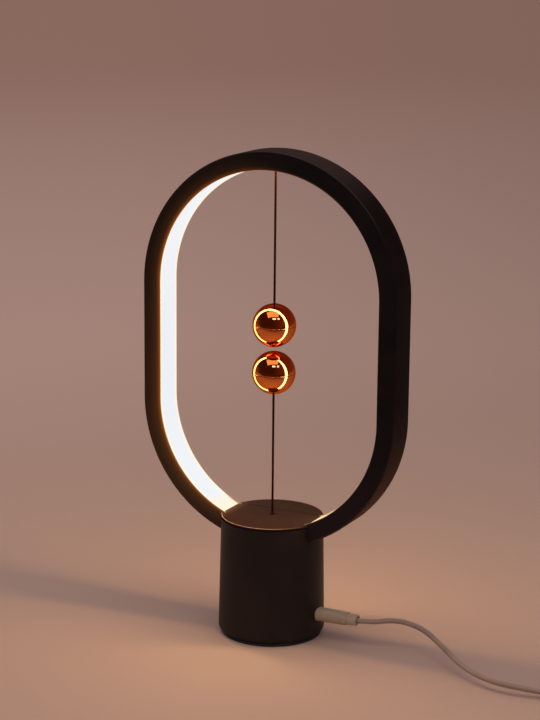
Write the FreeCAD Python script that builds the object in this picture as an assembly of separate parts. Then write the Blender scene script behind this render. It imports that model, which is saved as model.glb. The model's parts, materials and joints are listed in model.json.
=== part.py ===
# Magnetic balance lamp: a light ring standing in a weighted round base, with two magnetic balls
# on cords inside the ring. The balls pull towards each other, and the lower cord then lifts a
# plunger off the switch in the base. Millimetres, +Z up, origin on the floor under the middle of
# the base, +X towards the power lead, -Y towards the ring's front face.

import FreeCAD
import Part
import math
import os

V = FreeCAD.Vector
ORIGIN = V(0, 0, 0)
ALONG_X = V(1, 0, 0)
ALONG_Y = V(0, 1, 0)
UPRIGHT = V(0, 0, 1)

# ---------------------------------------------------------------- clearances
fit = 0.05                  # pressed and glued seats
running = 0.05              # a shaft that slides in its bush, on the radius
gap = 0.15                  # parts that are laid together
free = 0.3                  # parts that move past each other
past = 1.0                  # how far a cutting shape runs past the surface it opens

# ---------------------------------------------------------------- base
base_height = 100.0
base_top_radius = 42.0
base_taper = 2.0            # how much wider the base is at the floor
base_wall = 2.5
base_corner = 4.0           # rounding of the lower edge
foot_pad_thickness = 0.8
cover_plate = 1.6
cover_inset = 2.6           # bottom cover's edge, from the base's lower edge
lip_height = 3.0            # inward lip that the bottom cover is screwed to
lip_width = 9.5
spigot_wall = 2.4
cover_boss_radius = 4.2
cover_boss_height = 15.0
boss_bite = 0.5             # how far a boss runs into the wall beside it
cover_boss_first = 45.0     # degrees, then every quarter turn
boss_roof = 3.0             # solid end of a boss above its screw hole
screw_end = 1.0             # a screw stops this far from the end of its hole
cap_thickness = 2.5
cap_chamfer = 0.5
cap_rim_wall = 1.6
cap_rim_height = 3.0
cap_seam = 0.16
grommet_wall = 1.35
grommet_flange = 1.0
grommet_flange_thickness = 0.6
ballast_height = 12.0
ballast_bore_depth = 9.0
ballast_screw_radius = 1.5

# ---------------------------------------------------------------- ring
ring_width = 225.0          # outside, from side to side
ring_straight = 97.0        # straight run of each side
ring_thickness = 15.0       # from the rim to the inner face
ring_depth = 29.5           # front face to back face
ring_sink = 22.0            # how deep the ring stands in the base
rim_wall = 2.0
face_wall = 1.75            # front wall and back cover
edge_round = 0.6
lip_round = 0.4
diffuser_recess = 0.9       # behind the inner lips
diffuser_thickness = 1.5
diffuser_end = 30.0         # half the stretch under the cap that has no diffuser
rail_width = 1.5
rail_height = 2.0
cover_rib_width = 1.6
cover_rib_height = 1.8
strip_width = 10.0
strip_thickness = 0.3
strip_top_gap = 6.0         # each strip stops this far from the middle of the top
strip_foot = 27.0           # and this far from the middle of the bottom
led_length = 3.5
led_width = 2.8
led_height = 0.8
led_pitch = 16.7
cord_way_radius = 1.7       # hole in the diffuser for the upper cord

# ---------------------------------------------------------------- balls and their cords
ball_diameter = 35.5
ball_gap = 3.6
ball_wall = 1.5
magnet_radius = 7.0
magnet_thickness = 5.0
magnet_reach = 14.3         # outer face of the magnet, from the ball's middle
string_radius = 0.95
ferrule_radius = 1.7
ferrule_length = 7.0
string_grip = 5.0           # how far the cord goes into its ferrule
string_hole_gap = 0.4       # round the cord where it enters its ball
ferrule_end_gap = 0.2
top_pivot_drop = 9.5        # upper knot below the top of the ring
upper_bead_radius = 2.0
lower_bead_radius = 1.8
bead_gap = 0.15
boss_radius = 4.5
bush_radius = 3.0
bush_length = 5.4
bush_below_pivot = 2.9
bush_neck = 1.5
bush_seat = 1.8
seat_depth = 0.45

# ---------------------------------------------------------------- switch works
pivot_below_cap = 6.0       # lower knot below the top of the base
string_sway = 1.25          # how far the lower cord can lean in the cap's hole
plunger_travel = 3.0
plunger_rod = 1.5
cup_radius = 3.0
head_radius = 3.5
head_top_above_pivot = 2.0
head_cap_height = 1.0
cup_floor_below_pivot = 2.0
cup_depth_below_pivot = 6.0
head_neck = 1.3
head_seat = 1.65
guide_radius = 4.0
guide_flange_radius = 6.0
guide_flange = 1.5
guide_nut_radius = 6.4
guide_nut_height = 3.5
guide_nose_radius = 2.5
saddle_half_length = 17.0
saddle_half_width = 13.0
saddle_depth = 12.0         # under the lowest point of the ring
saddle_plate = 4.0
saddle_arm_half = 7.0
saddle_boss_radius = 4.2
saddle_boss_height = 14.0
ring_screw_angle = 6.3      # degrees from the middle of the lower arc
ring_screw_length = 8.0
spring_length = 9.0
spring_wire = 0.5
spring_radius = 3.2
spring_turns = 6
collar_radius = 4.2
collar_height = 2.5
rod_below_collar = 2.5
switch_length = 20.0
switch_width = 6.4
switch_height = 10.0
switch_behind = 17.0        # from the plunger's axis to the switch's far end
switch_screw_spacing = 9.5
switch_screw_height = 3.0
tag_length = 4.0
tag_width = 3.2
tag_thickness = 0.5
tag_inset = 3.0             # outer tags, from the switch's ends
ear_length = 3.0
ear_width = 1.0
ear_height = 2.2
lever_reach = 15.0          # lever pivot to the plunger's axis
lever_overhang = 2.5
lever_pin = 0.5
lever_thickness = 0.5
lever_half_width = 2.0
lever_rise = 1.1            # lever pivot above the switch body
lever_climb = 3.2           # from the lever pivot up to the plunger's tip
button_place = 4.0          # from the lever pivot
button_radius = 0.9
button_depth = 3.5
bracket_thickness = 1.5
bracket_shelf_gap = 1.2     # shelf above the top of the switch
bracket_upper = 7.5         # inner face of the bracket's upper half
bracket_flange = 5.4
bracket_screw_out = 2.0     # screws in the flange, from its bend
bracket_screw_inset = 3.5   # and from its ends
bracket_screw_bite = 4.0
small_screw = 1.0
screw = 1.25
head_ratio = 2.0            # head radius against shaft radius
head_rise = 1.2             # head height against shaft radius

# ---------------------------------------------------------------- power inlet and driver
port_height = 21.0
port_gap = 0.4              # round the plug's grip
jack_width = 7.8
jack_tall = 2.8
jack_length = 5.6
jack_wall = 0.4
jack_set_back = 0.2         # mouth of the socket, inside the base's wall
board_thickness = 1.6
board_half_width = 13.0
board_length = 29.5
board_set_back = 3.6
board_post_radius = 2.0
board_post_inset = 2.7      # posts, from the board's outer end
board_post_side = 10.0      # and from its middle line
board_screw_bite = 5.0
pad_length = 16.0
header_size = (5.0, 10.0, 4.0)
header_inset = 2.6          # middles of the board's parts, from its inner end
header_pin = 3.0            # wires at the header, from its middle line
choke_size = (6.0, 6.0, 3.0)
choke_inset = 10.5
choke_side = 6.5
chip_size = (5.0, 4.0, 1.4)
chip_inset = 10.5
chip_side = 5.5
capacitor_radius = 2.5
capacitor_height = 5.5
capacitor_inset = 19.5
capacitor_side = 7.5
wire_radius = 0.6
wire_hole = 1.3
wire_place = 21.5           # wire hole in the rim, from the middle
wire_start = 0.5            # wires begin this far past the end of the strips
wire_drop = 62.0            # height down to which they hang straight
wire_turn = 44.0
wire_low = 27.0
wire_bow = 8.0              # how far they stand out sideways
wire_lean = 8.0             # how far they then come inwards
wire_loop = 5.0             # last bend above the header

# ---------------------------------------------------------------- power lead
lead_radius = 2.1
tip_length = 6.6
tip_width = 6.7
tip_tall = 1.7
grip_sink = 1.0             # how deep the grip stands in the port
grip_length = 27.4
grip_width = 13.6           # at its end in the port
grip_tall = 10.4
grip_corner = 4.4
grip_taper = 0.91           # its other end, against the first
relief_length = 8.4
relief_width = 10.4
relief_tall = 8.0
relief_corner = 3.6
relief_mouth = 3.0
relief_mouth_depth = 2.0
arc_share = 0.45            # of the shorter run, taken up by each bend
coil_middle = (285.0, -2.0)
coil_outer_turn = 24.4      # radius of the outermost turn
coil_turn_pitch = 4.4
coil_turns = 10.2
coil_layers = 4
tie_width = 4.0
tie_thickness = 0.6
plug_width = 15.6
plug_tall = 8.4
plug_length = 27.0
plug_corner = 2.6
plug_place = (300.0, 61.0)  # where the lead goes into the far plug
plug_shell_width = 12.1
plug_shell_tall = 4.6
plug_shell_length = 13.0
plug_shell_wall = 0.35
plug_tongue_tall = 1.9
plug_relief_length = 9.0
plug_sleeve_wall = 0.9

# ---------------------------------------------------------------- places that follow
ring_outer = ring_width / 2
ring_inner = ring_outer - ring_thickness
rim_inner = ring_outer - rim_wall
half_depth = ring_depth / 2
ring_bottom = base_height - ring_sink
rim_floor = ring_bottom + rim_wall
low_centre = ring_bottom + ring_outer
high_centre = low_centre + ring_straight
ring_top = high_centre + ring_outer
ring_middle = (low_centre + high_centre) / 2
cavity_front = -half_depth + face_wall
cavity_back = half_depth - face_wall
diffuser_inner = ring_inner + diffuser_recess
diffuser_outer = diffuser_inner + diffuser_thickness
rail_inner = diffuser_outer + gap
strip_outer = rim_inner - fit
strip_inner = strip_outer - strip_thickness

ball_radius = ball_diameter / 2
upper_ball = ring_middle + ball_gap / 2 + ball_radius
lower_ball = ring_middle - ball_gap / 2 - ball_radius
core_radius = ball_radius - ball_wall - fit
ferrule_end = ball_radius - ball_wall - ferrule_end_gap
upper_pivot = ring_top - top_pivot_drop
lower_pivot = base_height - pivot_below_cap
upper_flat = math.sqrt(upper_bead_radius ** 2 - string_radius ** 2)
lower_flat = math.sqrt(lower_bead_radius ** 2 - string_radius ** 2)

cap_floor = base_height - cap_thickness
cover_floor = foot_pad_thickness
shell_floor = cover_floor + cover_plate
lip_top = shell_floor + lip_height
foot_radius = base_top_radius + base_taper
cover_radius = foot_radius - cover_inset
lip_radius = foot_radius - lip_width
ballast_top = shell_floor + ballast_height
ballast_radius = lip_radius - spigot_wall - 2 * free
board_top = port_height - jack_tall / 2
board_floor = board_top - board_thickness
header_top = board_top + header_size[2]
header_middle = board_top + header_size[2] / 2

head_floor = lower_pivot - cup_depth_below_pivot
guide_top = head_floor - plunger_travel - gap
saddle_floor = ring_bottom - saddle_depth
saddle_plate_top = saddle_floor + saddle_plate
nut_floor = saddle_floor - guide_nut_height
collar_top = nut_floor - spring_length
collar_floor = collar_top - collar_height
rod_tip = collar_floor - rod_below_collar
string_hole = string_radius + string_sway
grommet_radius = string_hole + grommet_wall

coil_turns_per_layer = coil_turns / coil_layers
coil_inner_turn = coil_outer_turn - coil_turn_pitch * coil_turns_per_layer
coil_inner = coil_inner_turn - lead_radius
coil_outer = coil_outer_turn + lead_radius
coil_height = coil_layers * 2 * lead_radius + tie_thickness



def base_radius(height):
    """Outside radius of the tapered base at a height."""
    return base_top_radius + base_taper * (1 - height / base_height)


def boss_place(height, radius):
    """Distance from the axis of a boss that runs up along the base's wall to a height."""
    return base_radius(height) - base_wall - radius + boss_bite


cover_boss_place = boss_place(lip_top + cover_boss_height, cover_boss_radius)
saddle_screw_place = boss_place(saddle_floor, saddle_boss_radius)
port_wall = base_radius(port_height) - base_wall
jack_front = port_wall - jack_set_back
board_outer = port_wall - board_set_back
board_inner = board_outer - board_length
board_post_x = board_outer - board_post_inset
header_x = board_inner + header_inset
header_edge = header_x - header_size[0] / 2
grip_start = base_radius(port_height) - grip_sink

# The lead's route by hand: out of the strain relief, down to the floor and into the coil, and
# from the top of the coil down to the far plug.
lead_start = grip_start + grip_length + relief_length - relief_mouth_depth
lead_route = [
    V(lead_start, 0, port_height),
    V(90, 0, port_height + 0.1),
    V(108, 12.5, port_height + 1.8),
    V(131, 11.5, 19.6),
    V(154, -6, 15.4),
    V(180, -29.5, 10.8),
    V(207, -41.5, 7.8),
    V(235, -41, 6.6),
    V(260, -33, 3.6),
    V(280, -27.2, lead_radius),
    V(294, -23.6, lead_radius),
]
tail_route = [
    V(307.5, 1, coil_height - lead_radius),
    V(306.5, 17, coil_height - 2 * lead_radius),
    V(302, 33, 5.2),
    V(plug_place[0], 51, plug_tall / 2),
    V(plug_place[0], plug_place[1], plug_tall / 2),
]


# ---------------------------------------------------------------- shapes
def box(x, y, z):
    """Box between the low and high values of each pair."""
    return Part.makeBox(x[1] - x[0], y[1] - y[0], z[1] - z[0], V(x[0], y[0], z[0]))


def centred_box(size, place, low):
    """Box of a size (x, y, z), centred on a place (x, y), standing on the height low."""
    corner = V(place[0] - size[0] / 2, place[1] - size[1] / 2, low)
    return Part.makeBox(size[0], size[1], size[2], corner)


def post(radius, low, high, x=0.0, y=0.0):
    """Upright cylinder between two heights."""
    return Part.makeCylinder(radius, high - low, V(x, y, low))


def pipe(outer, inner, low, high, x=0.0, y=0.0):
    """Upright cylinder with a bore right through it."""
    return post(outer, low, high, x, y).cut(post(inner, low, high, x, y))


def taper(low_radius, high_radius, low, high, x=0.0, y=0.0):
    """Upright cone frustum between two heights."""
    return Part.makeCone(low_radius, high_radius, high - low, V(x, y, low))


def turned(outline):
    """Solid turned about Z from an outline of (radius, height) corners."""
    corners = [V(radius, 0, height) for radius, height in outline]
    return Part.Face(Part.makePolygon(corners + corners[:1])).revolve(ORIGIN, UPRIGHT, 360)


def moved(shape, x=0.0, y=0.0, z=0.0):
    copy = shape.copy()
    copy.translate(V(x, y, z))
    return copy


def turned_about(shape, centre, axis, degrees):
    copy = shape.copy()
    copy.rotate(centre, axis, degrees)
    return copy


def in_line(shape, x, y, z, axis):
    """An upright shape laid along an axis, its own origin carried to the place."""
    copy = shape.copy()
    copy.Placement = FreeCAD.Placement(V(x, y, z), FreeCAD.Rotation(UPRIGHT, axis))
    return copy


def mirrored(shape):
    """The same shape on the other side of the lamp, left for right."""
    return shape.mirror(ORIGIN, ALONG_X)


def long_edges(shape, axis):
    """Straight edges of a box that run along an axis."""
    found = []
    for edge in shape.Edges:
        run = edge.Vertexes[-1].Point - edge.Vertexes[0].Point
        if run.Length > 0 and abs(abs(run.normalize().dot(axis)) - 1) < 1e-6:
            found.append(edge)
    return found


def rounded_bar(start, length, width, tall, corner, height):
    """Bar along X with its four long edges rounded, centred on y = 0 at a height."""
    low = height - tall / 2
    bar = box((start, start + length), (-width / 2, width / 2), (low, low + tall))
    return bar.makeFillet(corner, long_edges(bar, ALONG_X))


def stadium(radius, front, back):
    """Slab with two straight sides and two round ends, the ring's own outline at a radius."""
    sides = [
        Part.makeLine(V(radius, front, low_centre), V(radius, front, high_centre)),
        Part.Arc(V(radius, front, high_centre), V(0, front, high_centre + radius),
                 V(-radius, front, high_centre)).toShape(),
        Part.makeLine(V(-radius, front, high_centre), V(-radius, front, low_centre)),
        Part.Arc(V(-radius, front, low_centre), V(0, front, low_centre - radius),
                 V(radius, front, low_centre)).toShape(),
    ]
    return Part.Face(Part.Wire(sides)).extrude(V(0, back - front, 0))


def band(inner, outer, front, back):
    """Closed band between two of the ring's outlines."""
    return stadium(outer, front, back).cut(stadium(inner, front, back))


def outline_edges(shape, radius, y):
    """Edges that follow the ring's outline of a radius in the plane at y."""
    found = []
    for edge in shape.Edges:
        middle = edge.valueAt((edge.FirstParameter + edge.LastParameter) / 2)
        level = min(max(middle.z, low_centre), high_centre)
        reach = math.hypot(middle.x, middle.z - level)
        if abs(middle.y - y) < 0.01 and abs(reach - radius) < 0.01:
            found.append(edge)
    return found


def ring_floor_height(radius, x):
    """Height of the ring's lower arc of a radius, above a place x from the middle."""
    return low_centre - math.sqrt(radius ** 2 - x ** 2)


def pan_screw(shaft, length):
    """Pan-head cross-recess screw on Z, underside of its head at the origin."""
    head = post(shaft * head_ratio, 0, shaft * head_rise)
    recess_half = shaft * 0.3
    arm = box((-shaft, shaft), (-recess_half, recess_half), (shaft * 0.6, shaft * head_rise))
    across = turned_about(arm, ORIGIN, UPRIGHT, 90)
    return head.fuse(post(shaft, -length, 0)).cut([arm, across])


def flat_screw(shaft, length):
    """Countersunk screw on Z, the flat of its head at the origin, point upwards."""
    rise = shaft * (head_ratio - 1)
    return taper(shaft * head_ratio, shaft, 0, rise).fuse(post(shaft, rise, length))


def countersink(shaft, depth):
    """The hole that a countersunk screw sits in, with its seat clearance."""
    rise = shaft * (head_ratio - 1)
    cone = taper(shaft * head_ratio + fit, shaft + fit, 0, rise)
    return cone.fuse(post(shaft + fit, rise, depth))


def lead_tube(points, radius, name):
    """Tube along straight runs joined by tangent arcs. Prints each arc's radius in diameters."""
    sides = []
    radii = []
    start = points[0]
    for before, corner, after in zip(points, points[1:], points[2:]):
        arrive = corner - before
        leave = after - corner
        turn = arrive.getAngle(leave)
        reach = arc_share * min(arrive.Length, leave.Length)
        bend = reach / math.tan(turn / 2)
        arrive.normalize()
        leave.normalize()
        inward = leave - arrive
        inward.normalize()
        centre = corner + inward * (bend / math.cos(turn / 2))
        arc_start = corner - arrive * reach
        arc_end = corner + leave * reach
        sides.append(Part.LineSegment(start, arc_start).toShape())
        sides.append(Part.Arc(arc_start, centre - inward * bend, arc_end).toShape())
        radii.append(round(bend / radius / 2, 1))
        start = arc_end
    sides.append(Part.LineSegment(start, points[-1]).toShape())
    path = Part.Wire(sides)
    section = Part.Wire(Part.makeCircle(radius, points[0], points[1] - points[0]))
    tube = path.makePipeShell([section], True, False)
    full = math.pi * radius ** 2 * path.Length
    print(name, "length", round(path.Length, 1), "bends in diameters", radii,
          "volume share", round(tube.Volume / full, 4))
    return tube


def around_axis(shape, place, first, count):
    """Copies of a shape at a distance from the base's axis, evenly spaced."""
    step = 360 / count
    at_place = moved(shape, x=place)
    return [turned_about(at_place, ORIGIN, UPRIGHT, first + step * turn) for turn in range(count)]


# ---------------------------------------------------------------- ring
def ring_space():
    """What the ring takes out of the base: its outer envelope, kept off by a laid-in gap."""
    return stadium(ring_outer + gap, -half_depth - gap, half_depth + gap)


def ring_screw_places(shape):
    """The two places either side of the middle of the lower arc, square to the rim."""
    centre = V(0, 0, low_centre)
    return [turned_about(shape, centre, ALONG_Y, side * ring_screw_angle) for side in (-1, 1)]


def make_ring_body():
    """Channel of outer rim and front wall, with the diffuser's front rail and the cord's boss."""
    blank = stadium(ring_outer, -half_depth, half_depth)
    rims = outline_edges(blank, ring_outer, -half_depth) + outline_edges(blank, ring_outer, half_depth)
    blank = blank.makeFillet(edge_round, rims)
    channel = blank.cut([stadium(ring_inner, -half_depth, half_depth),
                         stadium(rim_inner, cavity_front, half_depth)])
    channel = channel.makeFillet(lip_round, outline_edges(channel, ring_inner, -half_depth))
    rail = band(rail_inner, rail_inner + rail_width, cavity_front, cavity_front + rail_height)
    boss_floor = upper_pivot - bush_below_pivot
    boss = post(boss_radius, boss_floor, ring_top - rim_wall / 2)
    body = channel.fuse([rail, boss])
    bush_hole = post(bush_radius + fit, boss_floor, boss_floor + bush_length + gap)
    guide_seat = post(guide_flange_radius + gap, rim_floor, rim_floor + guide_flange)
    guide_hole = post(guide_radius + fit, ring_bottom - past, rim_floor + past)
    wire_floor = ring_floor_height(ring_outer, wire_place)
    wires = [post(wire_hole, wire_floor - past, wire_floor + rim_wall + 2 * past, x)
             for x in (-wire_place, wire_place)]
    screws = ring_screw_places(post(screw + fit, ring_bottom - past, rim_floor + past))
    return body.cut([bush_hole, guide_seat, guide_hole] + wires + screws)


def make_ring_back_cover():
    """Back wall, laid inside the rim, with the diffuser's rear rail and a locating rib."""
    outer = rim_inner - gap
    plate = band(ring_inner, outer, cavity_back, half_depth)
    plate = plate.makeFillet(lip_round, outline_edges(plate, ring_inner, half_depth))
    rail = band(rail_inner, rail_inner + rail_width, cavity_back - rail_height, cavity_back)
    rib = band(outer - cover_rib_width, outer, cavity_back - cover_rib_height, cavity_back)
    return plate.fuse([rail, rib])


def make_diffuser():
    """Translucent strip behind the inner lips, open under the base's cap and holed at the top."""
    strip = band(diffuser_inner, diffuser_outer, cavity_front + gap, cavity_back - gap)
    under_cap = box((-diffuser_end, diffuser_end), (-half_depth, half_depth), (ring_bottom, low_centre))
    string_way = post(cord_way_radius, ring_middle, ring_top)
    return strip.cut([under_cap, string_way])


def make_left_strip():
    """Flexible circuit strip on the inside of the rim, left half."""
    half = strip_width / 2
    strip = band(strip_inner, strip_outer, -half, half)
    kept = box((-ring_outer, 0), (-half, half), (ring_bottom, ring_top))
    top = box((-strip_top_gap, 0), (-half, half), (high_centre, ring_top))
    foot = box((-strip_foot, 0), (-half, half), (ring_bottom, low_centre))
    return strip.common(kept).cut([top, foot])


def along_ring(piece, run):
    """Carries a piece from the bottom of the ring round its left side by a run on the strip."""
    quarter = strip_inner * math.pi / 2
    lift = min(max(run - quarter, 0), ring_straight)
    angle = math.degrees((run - lift) / strip_inner)
    return moved(turned_about(piece, V(0, 0, low_centre), ALONG_Y, angle), z=lift)


def make_leds():
    """One light emitter at every pitch of both strips."""
    floor = low_centre - strip_inner + fit
    led = centred_box((led_length, led_width, led_height), (0, 0), floor)
    first = strip_inner * math.asin(strip_foot / strip_inner) + led_length
    whole_side = strip_inner * math.pi + ring_straight
    last = whole_side - strip_inner * math.asin(strip_top_gap / strip_inner) - led_length
    count = int((last - first) / led_pitch) + 1
    start = (first + last - (count - 1) * led_pitch) / 2
    left = [along_ring(led, start + led_pitch * place) for place in range(count)]
    return Part.makeCompound(left + [mirrored(led) for led in left])


# ---------------------------------------------------------------- base
def make_base_shell():
    """Tapered tube with an inward lip, screw bosses, board posts, the port and the ring's slots."""
    side = base_radius(shell_floor + base_corner)
    top = base_radius(cap_floor)
    corner_middle = V(side - base_corner, 0, shell_floor + base_corner)
    slope = base_corner * math.sqrt(0.5)
    outline = [
        Part.makeLine(V(lip_radius, 0, shell_floor), V(side - base_corner, 0, shell_floor)),
        Part.Arc(V(side - base_corner, 0, shell_floor), corner_middle + V(slope, 0, -slope),
                 V(side, 0, shell_floor + base_corner)).toShape(),
        Part.makeLine(V(side, 0, shell_floor + base_corner), V(top, 0, cap_floor)),
        Part.makeLine(V(top, 0, cap_floor), V(top - base_wall, 0, cap_floor)),
        Part.makeLine(V(top - base_wall, 0, cap_floor), V(base_radius(lip_top) - base_wall, 0, lip_top)),
        Part.makeLine(V(base_radius(lip_top) - base_wall, 0, lip_top), V(lip_radius, 0, lip_top)),
        Part.makeLine(V(lip_radius, 0, lip_top), V(lip_radius, 0, shell_floor)),
    ]
    shell = Part.Face(Part.Wire(outline)).revolve(ORIGIN, UPRIGHT, 360)
    low_bosses = around_axis(post(cover_boss_radius, lip_top - fit, lip_top + cover_boss_height),
                             cover_boss_place, cover_boss_first, 4)
    boss_floor = saddle_floor - saddle_boss_height
    high_bosses = around_axis(post(saddle_boss_radius, boss_floor, saddle_floor),
                              saddle_screw_place, 90, 2)
    board_posts = [post(board_post_radius, lip_top - fit, board_floor, board_post_x, side * board_post_side)
                   for side in (-1, 1)]
    shell = shell.fuse(low_bosses + high_bosses + board_posts)
    low_holes = around_axis(post(screw + fit, shell_floor, lip_top + cover_boss_height - boss_roof),
                            cover_boss_place, cover_boss_first, 4)
    high_holes = around_axis(post(screw + fit, boss_floor + boss_roof, saddle_floor),
                             saddle_screw_place, 90, 2)
    port = rounded_bar(jack_front - jack_length, 3 * base_wall + jack_length, grip_width + 2 * port_gap,
                       grip_tall + 2 * port_gap, grip_corner + port_gap, port_height)
    board_holes = [post(small_screw + fit, lip_top, board_floor, board_post_x, side * board_post_side)
                   for side in (-1, 1)]
    return shell.cut(low_holes + high_holes + board_holes + [ring_space(), port])


def make_whole_cap():
    """Cap over the whole top of the base, its notches wrapped closely round the ring."""
    rim = base_radius(base_height)
    seat = base_radius(cap_floor)
    wall = seat - base_wall - gap
    cap = turned([(0, cap_floor), (seat, cap_floor), (rim, base_height - cap_chamfer),
                  (rim - cap_chamfer, base_height), (0, base_height)])
    skirt = pipe(wall, wall - cap_rim_wall, cap_floor - cap_rim_height, cap_floor)
    between_lips = cavity_back - gap
    outer = ring_outer + gap
    notches = [
        band(ring_inner - gap, outer, -half_depth - gap, -between_lips),
        band(diffuser_inner - gap, outer, -between_lips, between_lips),
        band(ring_inner - gap, outer, between_lips, half_depth + gap),
    ]
    grommet_hole = post(grommet_radius + fit, cap_floor - past, base_height + past)
    below_ring = box((-base_height, base_height), (-half_depth - gap, half_depth + gap),
                     (cap_floor - cap_rim_height, cap_floor))
    return cap.fuse(skirt.cut(below_ring)).cut(notches + [grommet_hole])


def make_cap_half(whole, front, back):
    """The part of the cap between two planes across the lamp."""
    return whole.common(box((-base_height, base_height), (front, back), (0, 2 * base_height)))


def make_cap_grommet():
    """Flanged eyelet in the middle of the cap, with the hole that the lower cord comes through."""
    flange = post(grommet_radius + grommet_flange, cap_floor - grommet_flange_thickness, cap_floor)
    return post(grommet_radius, cap_floor, base_height).fuse(flange).cut(
        post(string_hole, cap_floor - past, base_height + past))


def make_bottom_cover():
    """Round plate screwed under the base, with a spigot inside the lip round the ballast."""
    spigot_outer = lip_radius - free
    plate = post(cover_radius, cover_floor, shell_floor)
    spigot = pipe(spigot_outer, spigot_outer - spigot_wall, shell_floor, lip_top - gap)
    cover = plate.fuse(spigot)
    holes = around_axis(moved(countersink(screw, cover_plate + past), z=cover_floor),
                        cover_boss_place, cover_boss_first, 4)
    middle = moved(countersink(ballast_screw_radius, cover_plate + past), z=cover_floor)
    return cover.cut(holes + [middle])


def make_ballast():
    """Round steel weight inside the spigot, with a blind hole for its screw."""
    return post(ballast_radius, shell_floor, ballast_top).cut(
        post(ballast_screw_radius + fit, shell_floor, shell_floor + ballast_bore_depth))


def make_ballast_screw():
    length = cover_plate + ballast_bore_depth - screw_end
    return moved(flat_screw(ballast_screw_radius, length), z=cover_floor)


def make_cover_screws():
    length = cover_plate + lip_height + cover_boss_height - boss_roof - screw_end
    return Part.makeCompound(around_axis(moved(flat_screw(screw, length), z=cover_floor),
                                         cover_boss_place, cover_boss_first, 4))


# ---------------------------------------------------------------- ring seat and switch
def make_saddle():
    """Block hollowed to the rim, on a plate whose two arms are screwed to the base's bosses."""
    block = box((-saddle_half_length, saddle_half_length), (-saddle_half_width, saddle_half_width),
                (saddle_floor, ring_bottom + saddle_depth))
    arms = box((-saddle_arm_half, saddle_arm_half), (-base_top_radius, base_top_radius),
               (saddle_floor, saddle_plate_top))
    reach = base_radius(saddle_plate_top) - base_wall - free
    arms = arms.common(post(reach, saddle_floor, saddle_plate_top))
    above_ring = stadium(ring_outer + fit, -base_top_radius, base_top_radius)
    saddle = block.cut(above_ring).fuse(arms)
    guide_hole = post(guide_radius + fit, saddle_floor, ring_bottom + past)
    arm_holes = around_axis(post(screw + fit, saddle_floor, saddle_plate_top), saddle_screw_place, 90, 2)
    ring_holes = ring_screw_places(post(screw + fit, saddle_floor + boss_roof, ring_bottom + past))
    bracket_bore = saddle_floor + bracket_screw_bite + screw_end
    bracket_holes = [post(small_screw + fit, saddle_floor, bracket_bore, x, bracket_screw_y)
                     for x in bracket_screws_x]
    return saddle.cut([guide_hole] + arm_holes + ring_holes + bracket_holes)


def make_saddle_screws():
    length = saddle_plate + saddle_boss_height - boss_roof - screw_end
    upright = moved(pan_screw(screw, length), z=saddle_plate_top)
    return Part.makeCompound(around_axis(upright, saddle_screw_place, 90, 2))


def make_ring_screws():
    upright = moved(pan_screw(screw, ring_screw_length), z=rim_floor + fit)
    return Part.makeCompound(ring_screw_places(upright))


def make_plunger_guide():
    """Bush through the rim and the saddle: stop above, flange, threaded body and nose below."""
    stop = post(cup_radius, rim_floor, guide_top)
    flange = post(guide_flange_radius, rim_floor, rim_floor + guide_flange)
    body = post(guide_radius, nut_floor, rim_floor)
    nose = post(guide_nose_radius, collar_top + gap, nut_floor)
    return stop.fuse([flange, body, nose]).cut(post(plunger_rod + running, rod_tip, base_height))


def make_guide_nut():
    """Six-sided nut that clamps the guide, the ring and the saddle together."""
    corners = [V(guide_nut_radius * math.cos(math.radians(60 * side)),
                 guide_nut_radius * math.sin(math.radians(60 * side)), nut_floor) for side in range(7)]
    prism = Part.Face(Part.makePolygon(corners)).extrude(V(0, 0, guide_nut_height))
    return prism.cut(post(guide_radius + fit, nut_floor, saddle_floor))


def make_switch_plunger():
    """Rod with a cup on top for the lower knot, and a domed tip that works the switch."""
    cup = post(cup_radius, head_floor, lower_pivot + head_top_above_pivot - head_cap_height)
    hollow = post(lower_bead_radius + bead_gap, lower_pivot - cup_floor_below_pivot, base_height)
    rod = post(plunger_rod, rod_tip + plunger_rod, head_floor)
    tip = Part.makeSphere(plunger_rod, V(0, 0, rod_tip + plunger_rod))
    return cup.cut(hollow).fuse([rod, tip])


def make_plunger_cap():
    """Ring on the plunger's cup that holds the lower knot down."""
    top = lower_pivot + head_top_above_pivot
    floor = top - head_cap_height
    seat = taper(head_seat, head_neck, floor, floor + head_cap_height / 2)
    return post(head_radius, floor, top).cut([seat, post(head_neck, floor, top)])


def make_plunger_collar():
    return pipe(collar_radius, plunger_rod + fit, collar_floor, collar_top)


def make_return_spring():
    """Coil spring between the guide's shoulder and the collar, as a wire helix."""
    seat = spring_wire / 2 + fit
    pitch = (spring_length - 2 * seat) / spring_turns
    path = Part.makeHelix(pitch, pitch * spring_turns, spring_radius)
    path.translate(V(0, 0, collar_top + seat))
    section = Part.Wire(Part.makeCircle(spring_wire / 2, V(spring_radius, 0, collar_top + seat), ALONG_Y))
    return Part.Wire(path.Edges).makePipeShell([section], True, True)


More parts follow.
